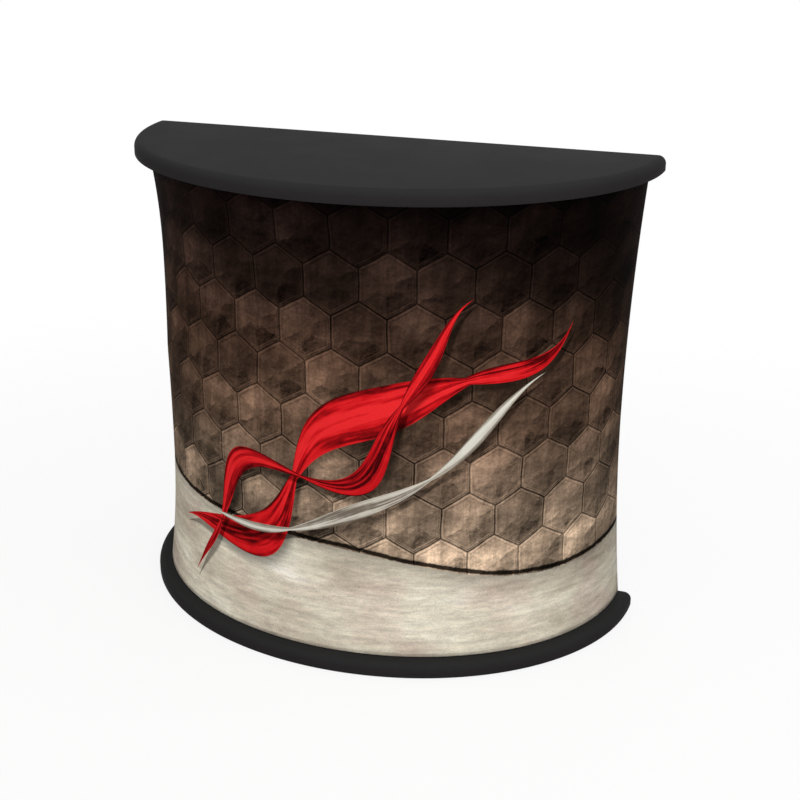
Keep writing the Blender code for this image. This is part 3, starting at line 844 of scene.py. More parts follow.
wires, given, out = new_effect(
    "ribbon_strand",
    {"Place": None, "Wave": 0.05, "Wavelength": 0.8, "Phase": 0.0, "Width": 0.05, "Twist": 0.3, "Reach": 0.6},
    {"Mask": "Float", "Fold": "Float", "Shadow": "Float"},
)
along, across, z = wires.parts(given["Place"])
turn = wires.times_plus(wires.math("DIVIDE", along, given["Wavelength"]), FULL_TURN, given["Phase"])
ripple = wires.math("SINE", wires.times_plus(turn, RIPPLE_RATE, given["Phase"]))
wave = wires.times_plus(ripple, RIPPLE_SHARE, wires.math("SINE", turn))
off = wires.math("SUBTRACT", across, wires.times(wave, given["Wave"]))
roll = wires.times_plus(wires.math("DIVIDE", along, given["Twist"]), math.pi, given["Phase"])
side = wires.math("SINE", roll)
open_share = wires.times_plus(wires.math("ABSOLUTE", side), 1 - EDGE_ON_SHARE, EDGE_ON_SHARE)
end = wires.math("ABSOLUTE", wires.math("DIVIDE", along, given["Reach"]))
open_width = wires.times(open_share, given["Width"])
half = wires.times(open_width, wires.step(end, TAPER_START, 1.0, 1.0, 0.0))
half = wires.math("MAXIMUM", half, NOT_ZERO)
share = wires.math("DIVIDE", off, half)
there = wires.step(half, *THINNEST)
within = wires.step(wires.math("ABSOLUTE", share), *STRAND_EDGE, 1.0, 0.0)
wires.fill(out["Mask"], wires.times(within, there))
dropped = wires.math("ADD", off, SHADOW_DROP)
low_share = wires.math("DIVIDE", dropped, wires.times(half, SHADOW_SPREAD))
below = wires.step(wires.math("ABSOLUTE", low_share), *SHADOW_EDGE, 1.0, 0.0)
wires.fill(out["Shadow"], wires.times(below, there))

# %% Its folds: creases along it, rounded sides and a light crumple
SILK_STREAKS = (6.0, 2.6)  # scales along the strand and across it
CREASE_RATE = 3.6
CREASE_BEND = 12.0
CREASE_LIGHT = (0.38, 0.50)  # how much the creases change the light, and the light between them
ROUND_SIDES = (-0.34, 0.12)
LIT_SIDE = 0.16
CRUMPLE = (34.0, 0.50)  # scale and size

streak_place = wires.join(*(wires.times(way, scale) for way, scale in zip((along, share), SILK_STREAKS)))
streaks = wires.noise(streak_place, 1.0, detail=4.0)
bend = wires.times_plus(streaks, CREASE_BEND, roll)
crease = wires.times_plus(share, CREASE_RATE, bend)
fold = wires.times_plus(wires.math("SINE", crease), *CREASE_LIGHT)
round_off = wires.times_plus(wires.times(share, share), *ROUND_SIDES)
lit_side = wires.times(side, LIT_SIDE)
crumpled = wires.noise(given["Place"], CRUMPLE[0], detail=5.0, roughness=0.66)
crumple = wires.times_plus(crumpled, CRUMPLE[1], -CRUMPLE[1] / 2)
shape = wires.math("ADD", fold, round_off)
wires.fill(out["Fold"], wires.math("ADD", shape, wires.math("ADD", lit_side, crumple), clamp=True))
ribbon_strand = wires.tree

# %% Lay the wall and the band out on the flat cloth
WALL_TONES = (
    (0.00, (0.570, 0.425, 0.300)), (0.22, (0.495, 0.360, 0.250)), (0.36, (0.350, 0.242, 0.166)),
    (0.50, (0.196, 0.118, 0.077)), (0.66, (0.0990, 0.0540, 0.0350)), (0.82, (0.0430, 0.0235, 0.0170)),
    (1.00, (0.0100, 0.0050, 0.0043)),
)
GLOW_MIDDLE = 0.55  # share of the cloth's length where the wall is lightest
# Fades: where each starts and ends, and what it multiplies by there
GLOW_FADE = (0.05, 0.52, 1.18, 0.66)
FAR_CORNER_FADE = (0.95, 1.40, 1.0, 0.34)
BAND_EDGE_FADE = (-0.075, 0.0, 1.0, 0.80)
BAND_LEFT_FADE = (0.0, 0.26, 0.50, 1.0)
BAND_RIGHT_FADE = (0.75, 1.0, 1.0, 0.66)
LINE_FADE = (-0.020, 0.004, 1.0, 0.70)
BAND_SOFTNESS = 0.0012
BAND_HEIGHT = 0.205
BAND_WAVES = ((2.9, 0.6, 0.045), (8.3, 1.0, 0.010))  # rate along the cloth, start, and height
BAND_RAGGEDNESS = 0.007
LINE = (0.0032, 0.0066, 0.05, 1.0)  # the dark line on the band's edge: half its width, and its shade
LINE_WANDER = (7.0, 0.0110, 0.0015)  # scale, size and least height

wires, given, out = new_effect("printed_design", {"Place": None}, {"Colour": "Color"})
place = given["Place"]
x, y, z = wires.parts(place)
height_share = wires.math("DIVIDE", y, CLOTH_HEIGHT)
width_share = wires.math("DIVIDE", x, CLOTH_LENGTH)
wall = wires.dim(wires.ramp(height_share, *WALL_TONES), wires.effect(embossed_wall, {"Place": place}))
off_middle = wires.math("ABSOLUTE", wires.math("SUBTRACT", width_share, GLOW_MIDDLE))
wall = wires.dim(wall, wires.step(off_middle, *GLOW_FADE))
far_corner = wires.times_plus(width_share, 0.5, height_share)
wall = wires.dim(wall, wires.step(far_corner, *FAR_CORNER_FADE))

edge = BAND_HEIGHT
for rate, start, height in BAND_WAVES:
    wave = wires.math("SINE", wires.times_plus(x, rate, start))
    edge = wires.times_plus(wave, height, edge)
ragged = wires.math("SUBTRACT", wires.noise(place, 60.0, detail=5.0, roughness=0.68), 0.5)
above = wires.math("SUBTRACT", y, wires.times_plus(ragged, BAND_RAGGEDNESS, edge))
band = wires.effect(pale_plaster, {"Place": place})
for share, fade in ((above, BAND_EDGE_FADE), (width_share, BAND_LEFT_FADE), (width_share, BAND_RIGHT_FADE)):
    band = wires.dim(band, wires.step(share, *fade))
ground = wires.mix(wires.step(above, -BAND_SOFTNESS, BAND_SOFTNESS), band, wall)
wander_scale, wander, least = LINE_WANDER
line_height = wires.times_plus(wires.noise(wires.join(x, 0.0), wander_scale, detail=3.0), wander, least)
from_line = wires.math("ABSOLUTE", wires.math("SUBTRACT", above, line_height))
line = wires.times(wires.step(from_line, *LINE), wires.step(above, *LINE_FADE))
design = wires.dim(ground, line)

# %% Lay the ribbon's strands over them
STRAND_SIZES = ("Wave", "Wavelength", "Phase", "Width", "Twist", "Reach")
STRANDS = (
    # the strand's middle on the cloth, its slope, its sizes, and its darkest, plain and lightest tones
    (
        (0.80, 0.43), 33, (0.060, 0.72, 0.9, 0.052, 0.42, 0.56),
        ((0.070, 0.002, 0.003), (0.66, 0.009, 0.013), (0.90, 0.026, 0.030)),
    ),
    (
        (0.74, 0.40), 38, (0.075, 0.60, 3.6, 0.027, 0.27, 0.50),
        ((0.050, 0.002, 0.003), (0.56, 0.008, 0.012), (0.86, 0.022, 0.026)),
    ),
    (
        (0.86, 0.36), 24, (0.050, 0.90, 5.1, 0.017, 0.33, 0.46),
        ((0.190, 0.155, 0.120), (0.58, 0.53, 0.44), (0.80, 0.77, 0.68)),
    ),
)
TONE_STOPS = (0.08, 0.56, 1.0)
SHADOW_DARKNESS = 0.62
PRINT_GRAIN = (0.25, 0.75, 0.93, 1.07)
PRINT_GRAIN_SCALE = 640.0

for middle, slope, sizes, tones in STRANDS:
    centred = wires.vector("SUBTRACT", place, (*middle, 0.0))
    turning = {"Vector": centred, "Angle": math.radians(-slope)}
    lined_up = wires.add("VectorRotate", turning, rotation_type="Z_AXIS")
    sockets = {"Place": lined_up, **dict(zip(STRAND_SIZES, sizes))}
    mask, fold, shadow = (wires.effect(ribbon_strand, sockets, name) for name in ("Mask", "Fold", "Shadow"))
    design = wires.dim(design, wires.times_plus(shadow, -SHADOW_DARKNESS, 1.0))
    design = wires.mix(mask, design, wires.ramp(fold, *zip(TONE_STOPS, tones)))
grain = wires.step(wires.noise(place, PRINT_GRAIN_SCALE, roughness=0.7), *PRINT_GRAIN)
wires.fill(out["Colour"], wires.dim(design, grain))
printed_design = wires.tree
print(f"the design has {len(printed_design.nodes)} nodes of its own, and {len(STRANDS)} strands of ribbon")

# %% [markdown]
# ## Fabric finishes
#
# The print is dyed into a polyester knit. Its outer face has the full colours. The dye hardly reaches
# the back of the cloth, so the inner face is pale, with a ghost of the print and a soft sheen. The cloth
# carries a UV map that is its flat cut in metres, and both finishes read it, so design and weave lie on the
# cloth as they were printed, and follow it round the hems.

# %% Print, its back, and sewing thread
CUT_MAP = "flat_cut"
WEAVE_PITCH = 0.0007
WEAVE_DEPTH = 0.00008
WEAVE_SHADE_AND_LIGHT = (0.86, 1.06)  # painted shade between two threads, and painted light on a thread
WEAVE_ROUGHNESS = (0.06, -0.04)  # what each adds to the plain roughness
UNDYED = (0.80, 0.79, 0.765)
GHOST_SHARE = 0.20
PLY_SCALE = 2600.0
THREAD_TONES = ((0.018, 0.014, 0.012), (0.050, 0.041, 0.036))


def fabric_finish(name, strength, colour_of, roughness, **plain):
    """A knit whose colour is made from the flat place on the cloth."""
    made, wires, shader = new_finish(name, Sheen_Roughness=0.5, **plain)
    place = wires.add("UVMap", uv_map=CUT_MAP)
    knit = wires.effect(weave, {"Place": place, "Pitch": WEAVE_PITCH})
    low, high = (roughness + change for change in WEAVE_ROUGHNESS)
    # Painted shade between the threads, and painted light on them
    thread = wires.step(knit, 0.0, 1.0, *WEAVE_SHADE_AND_LIGHT)
    wires.fill(shader["Base Color"], wires.dim(colour_of(wires, place), thread))
    wires.fill(shader["Roughness"], wires.step(knit, 0.0, 1.0, low, high))
    wires.fill(shader["Normal"], bumped(wires, knit, WEAVE_DEPTH, strength))
    return made


def print_colour(wires, place):
    return wires.effect(printed_design, {"Place": place})


def ghost_of_print(wires, place):
    return wires.mix(GHOST_SHARE, UNDYED, print_colour(wires, place))


PRINT = fabric_finish("printed_fabric", 0.5, print_colour, 0.78, Specular_IOR_Level=0.01)
PRINT_BACK = fabric_finish(
    "fabric_back", 0.7, ghost_of_print, 0.84, Specular_IOR_Level=0.10, Sheen_Weight=0.10
)

THREAD, wires, shader = new_finish("sewing_thread", Roughness=0.7, Specular_IOR_Level=0.3)
ply = wires.noise(wires.add("TexCoord", output="Object"), PLY_SCALE)
wires.fill(shader["Base Color"], wires.mix(ply, *THREAD_TONES))
print("fabric finishes:", PRINT.name, PRINT_BACK.name, THREAD.name)

# %% [markdown]
# ## The fabric
#
# The cloth starts as a flat grid. Each of its points then moves to its place on the counter, and its place
# on the flat cloth, in metres, is kept in the UV map. Drawing it this way, and not by a simulation, fits a
# fabric that is stretched tight: it has no slack to drape.

# %% Give each point of a flat grid its place, and keep its flat one
CLOTH_THICKNESS = 0.0006
BAY_ROWS = 60
SHELF_ROWS = 4


def between(low, high, count):
    return [low + (high - low) * step / count for step in range(count)]


row_heights = [
    *between(CLOTH_LOW, SHELF_UNDERSIDE, BAY_ROWS), *between(SHELF_UNDERSIDE, SHELF_TOP, SHELF_ROWS),
    *between(SHELF_TOP, CLOTH_HIGH, BAY_ROWS), CLOTH_HIGH,
]
CLOTH_ROWS = len(row_heights) - 1


def grid_of(columns, rows):
    """A flat grid and the column and row number of each of its points."""
    bm = bmesh.new()
    bmesh.ops.create_grid(bm, x_segments=columns, y_segments=rows, size=0.5)
    numbers = {}
    for vert in bm.verts:
        numbers[vert] = (round((vert.co.x + 0.5) * columns), round((vert.co.y + 0.5) * rows))
    return bm, numbers


def write_cut_map(bm, flat_place):
    """Stores each point's flat place, in metres, as the UV map that the fabric finishes read."""
    layer = bm.loops.layers.uv.new(CUT_MAP)
    for face in bm.faces:
        for loop in face.loops:
            loop[layer].uv = flat_place[loop.vert]


def sheet_mesh(name, columns, place_of, facing):
    """Cloth whose printed face looks one way. place_of gives a point's place and its length along it."""
    bm, numbers = grid_of(columns, CLOTH_ROWS)
    flat_place = {}
    for vert, (column, row) in numbers.items():
        vert.co, length = place_of(column, row_heights[row])
        flat_place[vert] = (length, row_heights[row] - CLOTH_LOW)
    write_cut_map(bm, flat_place)
    bm.normal_update()
    if sum(face.normal.dot(facing) * face.calc_area() for face in bm.faces) < 0:
        bmesh.ops.reverse_faces(bm, faces=bm.faces)
    return mesh_of(name, bm, PRINT, PRINT_BACK, outward=False)


def thicken(piece, thickness, even=False):
    """Gives cloth its thickness, behind its printed face."""
    layer = piece.modifiers.new("thickness", "SOLIDIFY")
    layer.thickness, layer.offset, layer.material_offset = thickness, -1, 1
    layer.use_even_offset = even


# %% Shape the cloth
PULL_DEPTH = 0.0005
PULL_SPACING = 0.046
PULL_WANDER = 2.1  # how far the pulls stray from even spacing
PULL_WANDER_RATE = 5.3
PULL_START = 0.012  # from a board, where a pull has its full depth
PULL_REACH = 0.11  # from a board, where it ends


def pull(length, z):
    """Faint upright pulls that the tension makes beside the boards; they fade towards the middle."""
    near = min(z - CLOTH_LOW, CLOTH_HIGH - z)
    fade = max(0.0, 1 - near / PULL_REACH) ** 2
    stray = PULL_WANDER * math.sin(PULL_WANDER_RATE * length)
    wave = math.sin(FULL_TURN * length / PULL_SPACING + stray)
    return PULL_DEPTH * fade * 0.5 * (1 + wave) * min(1.0, near / PULL_START)


def on_cloth(column, z):
    length = column_lengths[column]
    return cloth_point(column_angle(column), z, pull(length, z)), length


cloth_mesh = sheet_mesh("printed_wrap", CLOTH_COLUMNS, on_cloth, facing=Vector((0, -1, 0)))
cloth_piece = show("printed_wrap", cloth_mesh, instead_of=["graphic_wrap"])
thicken(cloth_piece, CLOTH_THICKNESS, even=True)
print(f"cloth: {len(cloth_mesh.polygons)} faces")

# %% [markdown]
# ## Hems and stitches
#
# A cut edge of stretch fabric would curl, so both free rear edges are folded to the inside and sewn down.
# The fold turns the printed face inwards, which is why a dark strip shows from behind. A hem is one more
# grid: a few columns go round the fold and the rest lie flat. Stitches are small beads of thread, each with
# only a few faces, because there are hundreds of them.

# %% Fold the hems
HEM_WIDTH = 0.018
HEM_THICKNESS = 0.0005
HEM_FOLD_RADIUS = 0.0006
HEM_FOLD_COLUMNS = 6
HEM_FLAT_COLUMNS = 6

hem_section = []  # distance in from the rear edge, and depth behind the cloth's face
for column in range(HEM_FOLD_COLUMNS + 1):
    bend = math.pi * column / HEM_FOLD_COLUMNS
    hem_section.append((-HEM_FOLD_RADIUS * math.sin(bend), HEM_FOLD_RADIUS * (1 - math.cos(bend))))
for column in range(1, HEM_FLAT_COLUMNS + 1):
    hem_section.append((HEM_WIDTH * column / HEM_FLAT_COLUMNS, 2 * HEM_FOLD_RADIUS))
hem_lengths = [0.0]
for here, there in zip(hem_section, hem_section[1:]):
    hem_lengths.append(hem_lengths[-1] + math.dist(here, there))


def near_edge(side, distance, z, depth):
    """A point some distance in from a rear edge, and some depth behind the cloth's face."""
    turn = distance / (DEPTH - RIM_INSET)
    return cloth_point(turn if side == "right" else math.pi - turn, z, depth)


def hem_places(side, start, way):
    """Where the points of one side's hem lie, as a function of their column and height."""
    def on_hem(column, z):
        distance, depth = hem_section[column]
        return near_edge(side, distance, z, depth), start + way * hem_lengths[column]

    return on_hem


hems = []
for side, start, way in (("left", 0.0, -1), ("right", CLOTH_LENGTH, 1)):
    columns = HEM_FOLD_COLUMNS + HEM_FLAT_COLUMNS
    mesh = sheet_mesh(f"{side}_hem", columns, hem_places(side, start, way), facing=Vector((-way, 0, 0)))
    hems.append(show(f"{side}_hem", mesh))
    thicken(hems[-1], HEM_THICKNESS)
print("hems:", [hem.name for hem in hems])

# %% Make a stitch and a seam
STITCH_PITCH = 0.0042
STITCH_LENGTH = 0.0033
THREAD_RADIUS = 0.00022

stitch_shape = bmesh.new()
bmesh.ops.create_uvsphere(stitch_shape, u_segments=6, v_segments=4, radius=1.0)
one_stitch = mesh_of("stitch", stitch_shape)


def stitch(bm, start, end, outward):
    """A bead of thread from start to end, on a face that looks outward."""
    along = (end - start).normalized()
    side = along.cross(outward).normalized()
    turn = Matrix((side, along.cross(side), along)).transposed().to_4x4()
    size = Matrix.Diagonal((THREAD_RADIUS, THREAD_RADIUS, (end - start).length / 2, 1))
    bead = one_stitch.copy()
    bead.transform(Matrix.Translation((start + end) / 2) @ turn @ size)
    bm.from_mesh(bead, face_normals=False, vertex_normals=False)
    bpy.data.meshes.remove(bead)


def seam(bm, path, length, outward):
    """Stitches along a path. path(distance) gives a point."""
    for number in range(int(length / STITCH_PITCH)):
        start = number * STITCH_PITCH
        stitch(bm, path(start), path(start + STITCH_LENGTH), outward)


# %% Sew the hems and the rims
HEM_SEAMS = (0.0105, 0.0145)  # in from the rear edge
RIM_SEAM = 0.0055  # from the cloth's lower and upper edges


def show_threads(name, sewn):
    show(name, mesh_of(name, sewn, THREAD))


def angle_at(length):
    """The angle that lies this far along the cloth."""
    column = next(number for number, reached in enumerate(column_lengths) if reached >= length)
    if column == 0:
        return math.pi
    share = (length - column_lengths[column - 1]) / (column_lengths[column] - column_lengths[column - 1])
    return column_angle(column - 1 + share)


for side, way in (("left", -1), ("right", 1)):
    sewn = bmesh.new()
    for distance in HEM_SEAMS:
        for depth in (0.0, 2 * HEM_FOLD_RADIUS):
            seam(
                sewn, lambda s: near_edge(side, distance, CLOTH_LOW + s, depth),
                CLOTH_HEIGHT, Vector((way, 0, 0)),
            )
    show_threads(f"{side}_hem_stitches", sewn)
for level, z in (("base", CLOTH_LOW + RIM_SEAM), ("top", CLOTH_HIGH - RIM_SEAM)):
    sewn = bmesh.new()
    seam(sewn, lambda s: cloth_point(angle_at(s), z), CLOTH_LENGTH - STITCH_PITCH, Vector((0, 0, 1)))
    show_threads(f"{level}_rim_stitches", sewn)

# %% [markdown]
# ## Rails and silicone strips
#
# An extruded channel runs round each board. A silicone strip, sewn to the edge of the print, is pressed
# into its slot. Both have the same section all the way, so the section is drawn once and spun half round. A
# spin makes a circle and the boards are an ellipse, so each point then moves to the same inset on the real
# curve.

# %% Sweep a section round the boards
SWEEP_STEPS = 160
SPIN_RADIUS = 1.0


def swept(outline, ease):
    """A closed section of inset and height pairs, along the boards' curve."""
    bm = bmesh.new()
    section = bm.faces.new([bm.verts.new((SPIN_RADIUS - inset, 0, z)) for inset, z in outline])
    bmesh.ops.spin(bm, geom=[section], cent=(0, 0, 0), axis=(0, 0, 1), angle=math.pi, steps=SWEEP_STEPS)
    bmesh.ops.remove_doubles(bm, verts=bm.verts, dist=WELD)
    for vert in bm.verts:
        inset = SPIN_RADIUS - math.hypot(vert.co.x, vert.co.y)
        vert.co = on_curve(math.atan2(max(vert.co.y, 0.0), vert.co.x), inset, vert.co.z)
    bmesh.ops.recalc_face_normals(bm, faces=bm.faces)
    rounded(bm, sharp_edges(bm), ease)
    return bm


# %% Shape the rails and the strips
RAIL_DEPTH = 0.014
RAIL_FOOT_WIDTH = 0.014
RAIL_FOOT_THICKNESS = 0.0022
RAIL_LIP = 0.002
RAIL_EASE = 0.00025
SLOT_HEIGHT = 0.0036
SLOT_DEPTH = 0.0098
SCRIBE = 0.0004  # half the width, and the depth, of the line that guides the drill
BEAD_WIDTH = 0.0095
BEAD_EASE = 0.0006

rail_low, rail_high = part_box("base_rail")
bead_low, bead_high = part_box("base_bead")
rail_out = HALF_WIDTH - rail_high.x
rail_height = rail_high.z - rail_low.z
rail_in = rail_out + RAIL_DEPTH
foot_in = rail_in + RAIL_FOOT_WIDTH
foot_middle = rail_in + RAIL_FOOT_WIDTH / 2
slot_in = rail_out + SLOT_DEPTH
slot_top = RAIL_LIP + SLOT_HEIGHT
rail_section = [
    (rail_out, 0), (foot_in, 0), (foot_in, RAIL_FOOT_THICKNESS),
    (foot_middle + SCRIBE, RAIL_FOOT_THICKNESS), (foot_middle, RAIL_FOOT_THICKNESS - SCRIBE),
    (foot_middle - SCRIBE, RAIL_FOOT_THICKNESS), (rail_in, RAIL_FOOT_THICKNESS), (rail_in, rail_height),
    (rail_out, rail_height), (rail_out, slot_top), (slot_in, slot_top), (slot_in, RAIL_LIP),
    (rail_out, RAIL_LIP),
]
bead_out = HALF_WIDTH - bead_high.x
bead_in = bead_out + BEAD_WIDTH
bead_floor, bead_head = bead_low.z - rail_low.z, bead_high.z - rail_low.z
bead_section = [(bead_out, bead_floor), (bead_in, bead_floor), (bead_in, bead_head), (bead_out, bead_head)]
for level, face, way in (("base", rail_low.z, 1), ("top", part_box("top_rail")[1].z, -1)):
    for piece, section, finish, ease in (
        ("rail", rail_section, ANODISED, RAIL_EASE), ("bead", bead_section, SILICONE, BEAD_EASE)
    ):
        placed = [(inset, face + way * z) for inset, z in section]
        mesh = mesh_of(f"{level}_{piece}_profile", swept(placed, ease), finish)
        show(mesh.name, mesh, instead_of=[f"{level}_{piece}"])
        print(f"{mesh.name}: {len(mesh.polygons)} faces")

# %% [markdown]
# ## The shelf
#
# The shelf fills the plan of the fabric. It starts as the same half-round plate as the boards, and each
# point of its rim is then pulled in to just behind the cloth. Its rear corners are rounded, so they don't
# catch a sleeve, and the uprights' joiners pass through four holes.

# %% Shape the shelf
CORNERS = ("front_left", "front_right", "rear_left", "rear_right")
SHELF_CLEARANCE = 0.0023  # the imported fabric's thickness and its gap
SHELF_CORNER_RADIUS = 0.014
SHELF_CORNER_STEPS = 10
SHELF_EASE = 0.0018
SHELF_EASE_STEPS = 3
JOINER_HOLE = pin(0.0135, 0.5, 0.6)  # from below the shelf to above it
JOINER_HOLE_STEPS = 48

shelf_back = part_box("shelf")[1].y
shelf = half_round_plate(SHELF_TOP - SHELF_UNDERSIDE)
for vert in shelf.verts:
    angle = math.atan2((BACK - vert.co.y) / DEPTH, vert.co.x / HALF_WIDTH)
    inset = max(cloth_inset(angle, z) for z in (SHELF_UNDERSIDE, SHELF_TOP)) + SHELF_CLEARANCE
    vert.co = on_curve(angle, inset, vert.co.z + SHELF_UNDERSIDE)
sliced(shelf, shelf_back, keep_back=False)


def is_level(edge):
    return abs(edge.verts[0].co.z - edge.verts[1].co.z) < WELD


corner_edges = [edge for edge in shelf.edges if not is_level(edge) and edge.verts[0].co.y > shelf_back - WELD]
rounded(shelf, corner_edges, SHELF_CORNER_RADIUS, SHELF_CORNER_STEPS)
rounded(shelf, [edge for edge in sharp_edges(shelf) if is_level(edge)], SHELF_EASE, SHELF_EASE_STEPS)


def axis_of(node):
    """The upright line through the middle of a node, at height zero."""
    low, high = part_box(node)
    return Vector(((low.x + high.x) / 2, (low.y + high.y) / 2, 0))


UPRIGHT_AXES = {corner: axis_of(f"lower_upright_{corner}") for corner in CORNERS}
hole = mesh_of("hole", turned(JOINER_HOLE, JOINER_HOLE_STEPS))
places = [Matrix.Translation(axis) for axis in UPRIGHT_AXES.values()]
shelf_mesh = drilled(mesh_of("shelf_panel", shelf, BLACK_FOIL), hole, places)
show("shelf_panel", shelf_mesh, instead_of=["shelf"])
print(f"shelf: {len(shelf_mesh.polygons)} faces")

# %% [markdown]
# ## Uprights, sockets and joiners
#
# These are all round, so each is a profile turned on the lathe. The tubes stand on flanged sockets, which
# are screwed to the boards. At the shelf, a joiner fixed in the lower tube carries the shelf on its collar
# and plugs into the upper tube. One hole cutter serves every piece that a button passes through.

# %% Profiles of the round parts
ROUND_STEPS = 64
MOULDED_EASE = 0.0003
SEAT_GAP = 0.0003  # between parts that touch
TUBE_RADIUS = 0.015
TUBE_WALL = 0.0015
SPIGOT_RADIUS = 0.0132
BORE_RADIUS = 0.0108
CHAMFER = 0.0015  # on a spigot's tip
FLANGE = 0.004  # its thickness
FLANGE_CHAMFER = 0.001
FLANGE_FILLET = 0.0012  # how wide the slope at the spigot's foot is
FLANGE_FILLET_RISE = 0.00024
COLLAR_RADIUS = 0.021
COLLAR_THICKNESS = 0.004
HOLE_RING = 0.007  # extra rings beside a hole keep the tube's shading even round it


def tube_profile(length, hole_heights):
    levels = [0.0, length]
    for height in hole_heights:
        levels += [height - HOLE_RING, height + HOLE_RING]
    levels.sort()
    inner = TUBE_RADIUS - TUBE_WALL
    return [(TUBE_RADIUS, z) for z in levels] + [(inner, z) for z in reversed(levels)]


def socket_profile(radius, height):
    return [
        (0, 0), (radius, 0), (radius, FLANGE - FLANGE_CHAMFER), (radius - FLANGE_CHAMFER, FLANGE),
        (SPIGOT_RADIUS + FLANGE_FILLET, FLANGE), (SPIGOT_RADIUS, FLANGE + FLANGE_FILLET_RISE),
        (SPIGOT_RADIUS, height - CHAMFER), (SPIGOT_RADIUS - CHAMFER, height), (BORE_RADIUS, height),
        (BORE_RADIUS, FLANGE), (0, FLANGE),
    ]


def joiner_profile(collar_top, height):
    """Heights are measured from the joiner's lower end."""
    collar_low = collar_top - COLLAR_THICKNESS
    return [
        (BORE_RADIUS, 0), (SPIGOT_RADIUS - CHAMFER, 0), (SPIGOT_RADIUS, CHAMFER),
        (SPIGOT_RADIUS, collar_low), (COLLAR_RADIUS, collar_low), (COLLAR_RADIUS, collar_top),
        (SPIGOT_RADIUS, collar_top), (SPIGOT_RADIUS, height - CHAMFER), (SPIGOT_RADIUS - CHAMFER, height),
        (BORE_RADIUS, height),
    ]


# %% Turn them and drill the button holes
BUTTON_WAY = pin(0.0044, 0.0, 0.03)  # from a tube's middle to outside it
BUTTON_WAY_STEPS = 32
OUTWARD = Matrix.Rotation(-math.pi / 2, 4, "X")  # turns +Z to +Y, the way the buttons point
UPSIDE_DOWN = Matrix.Rotation(math.pi, 4, "Y")
button_way = mesh_of("button_way", turned(BUTTON_WAY, BUTTON_WAY_STEPS))


def heights_of(node):
    low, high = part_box(f"{node}_rear_left")
    return low.z, high.z


def round_part(name, profile, finish, holes, closed=False):
    """A turned part, drilled for buttons at some heights."""
    mesh = mesh_of(name, turned(profile, ROUND_STEPS, closed=closed, ease=MOULDED_EASE), finish)
    return drilled(mesh, button_way, [Matrix.Translation((0, 0, height)) @ OUTWARD for height in holes])


levels = {level: sum(heights_of(f"{level}_button")) / 2 for level in ("base", "shelf", "top")}
round_nodes = ("lower_upright", "upper_upright", "base_socket", "top_socket", "shelf_joiner")
ends = {node: heights_of(node) for node in round_nodes}
tubes = {}
for name, node, joints in (
    ("lower_tube", "lower_upright", ["base"]), ("upper_tube", "upper_upright", ["shelf", "top"])
):
    low, high = ends[node]
    holes = [levels[joint] - low for joint in joints]
    tubes[name] = round_part(name, tube_profile(high - low, holes), DRAWN_ALUMINIUM, holes, closed=True)
low, high = ends["base_socket"]
flange_low, flange_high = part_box("base_socket_rear_left")
flange_radius = (flange_high.x - flange_low.x) / 2
socket = round_part("socket", socket_profile(flange_radius, high - low), NYLON, [levels["base"] - low])
low, high = ends["shelf_joiner"]
collar_top = ends["lower_upright"][1] + SEAT_GAP + COLLAR_THICKNESS
joiner = round_part(
    "joiner", joiner_profile(collar_top - low, high - low), NYLON, [levels["shelf"] - low], closed=True
)

# %% Stand them up
for corner, axis in UPRIGHT_AXES.items():
    for node, mesh, slot, end in (
        ("lower_upright", tubes["lower_tube"], "tube", 0), ("upper_upright", tubes["upper_tube"], "tube", 0),
        ("base_socket", socket, "nylon", 0), ("top_socket", socket, "nylon", 1),
        ("shelf_joiner", joiner, "nylon", 0),
    ):
        place = Matrix.Translation(axis + Vector((0, 0, ends[node][end])))
        if node == "top_socket":
            place = place @ UPSIDE_DOWN
        name = f"{corner}_{mesh.name}_{node.split('_')[0]}"
        show(name, mesh, instead_of=[f"{node}_{corner}"], place=place)
print("faces:", {mesh.name: len(mesh.polygons) for mesh in (*tubes.values(), socket, joiner)})

# %% [markdown]
# ## Sprung buttons
#
# A domed button looks out of a hole in each joint, and a folded strip of spring steel pushes it from
# behind. The button rides on its own body, so it moves when its joint does. The spring stays with the
# counter, with one of its legs on the far wall.

# %% Shape the button and its spring
BUTTON_RADIUS = 0.004
BUTTON_STEPS = 40
SHOULDER_RADIUS = 0.0055
SHOULDER_THICKNESS = 0.0015
SHOULDER_FACE = 0.00888  # from the tube's middle to the front of the shoulder
SHOULDER_BACK = SHOULDER_FACE - SHOULDER_THICKNESS
BUTTON_PROUD = 0.0035
DOME_STEPS = 8
SPRING_WIDTH = 0.007
SPRING_STRIP = 0.0008
SPRING_DROP = 0.0215
SPRING_FOLD_RADIUS = 0.0025
SPRING_FOLD_STEPS = 12
SPRING_PAD = 0.005
SPRING_NEAR = SHOULDER_BACK - SEAT_GAP - SPRING_STRIP / 2
SPRING_FAR = -0.00939
SPRING_MIDDLE = -0.00216

button_profile = [
    (0, SHOULDER_BACK), (SHOULDER_RADIUS, SHOULDER_BACK), (SHOULDER_RADIUS, SHOULDER_FACE),
    (BUTTON_RADIUS, SHOULDER_FACE),
]
for step in range(DOME_STEPS + 1):
    rise = math.pi / 2 * step / DOME_STEPS
    button_profile.append((BUTTON_RADIUS * math.cos(rise), TUBE_RADIUS + BUTTON_PROUD * math.sin(rise)))
button_mesh = mesh_of("button", turned(button_profile, BUTTON_STEPS), NICKEL)


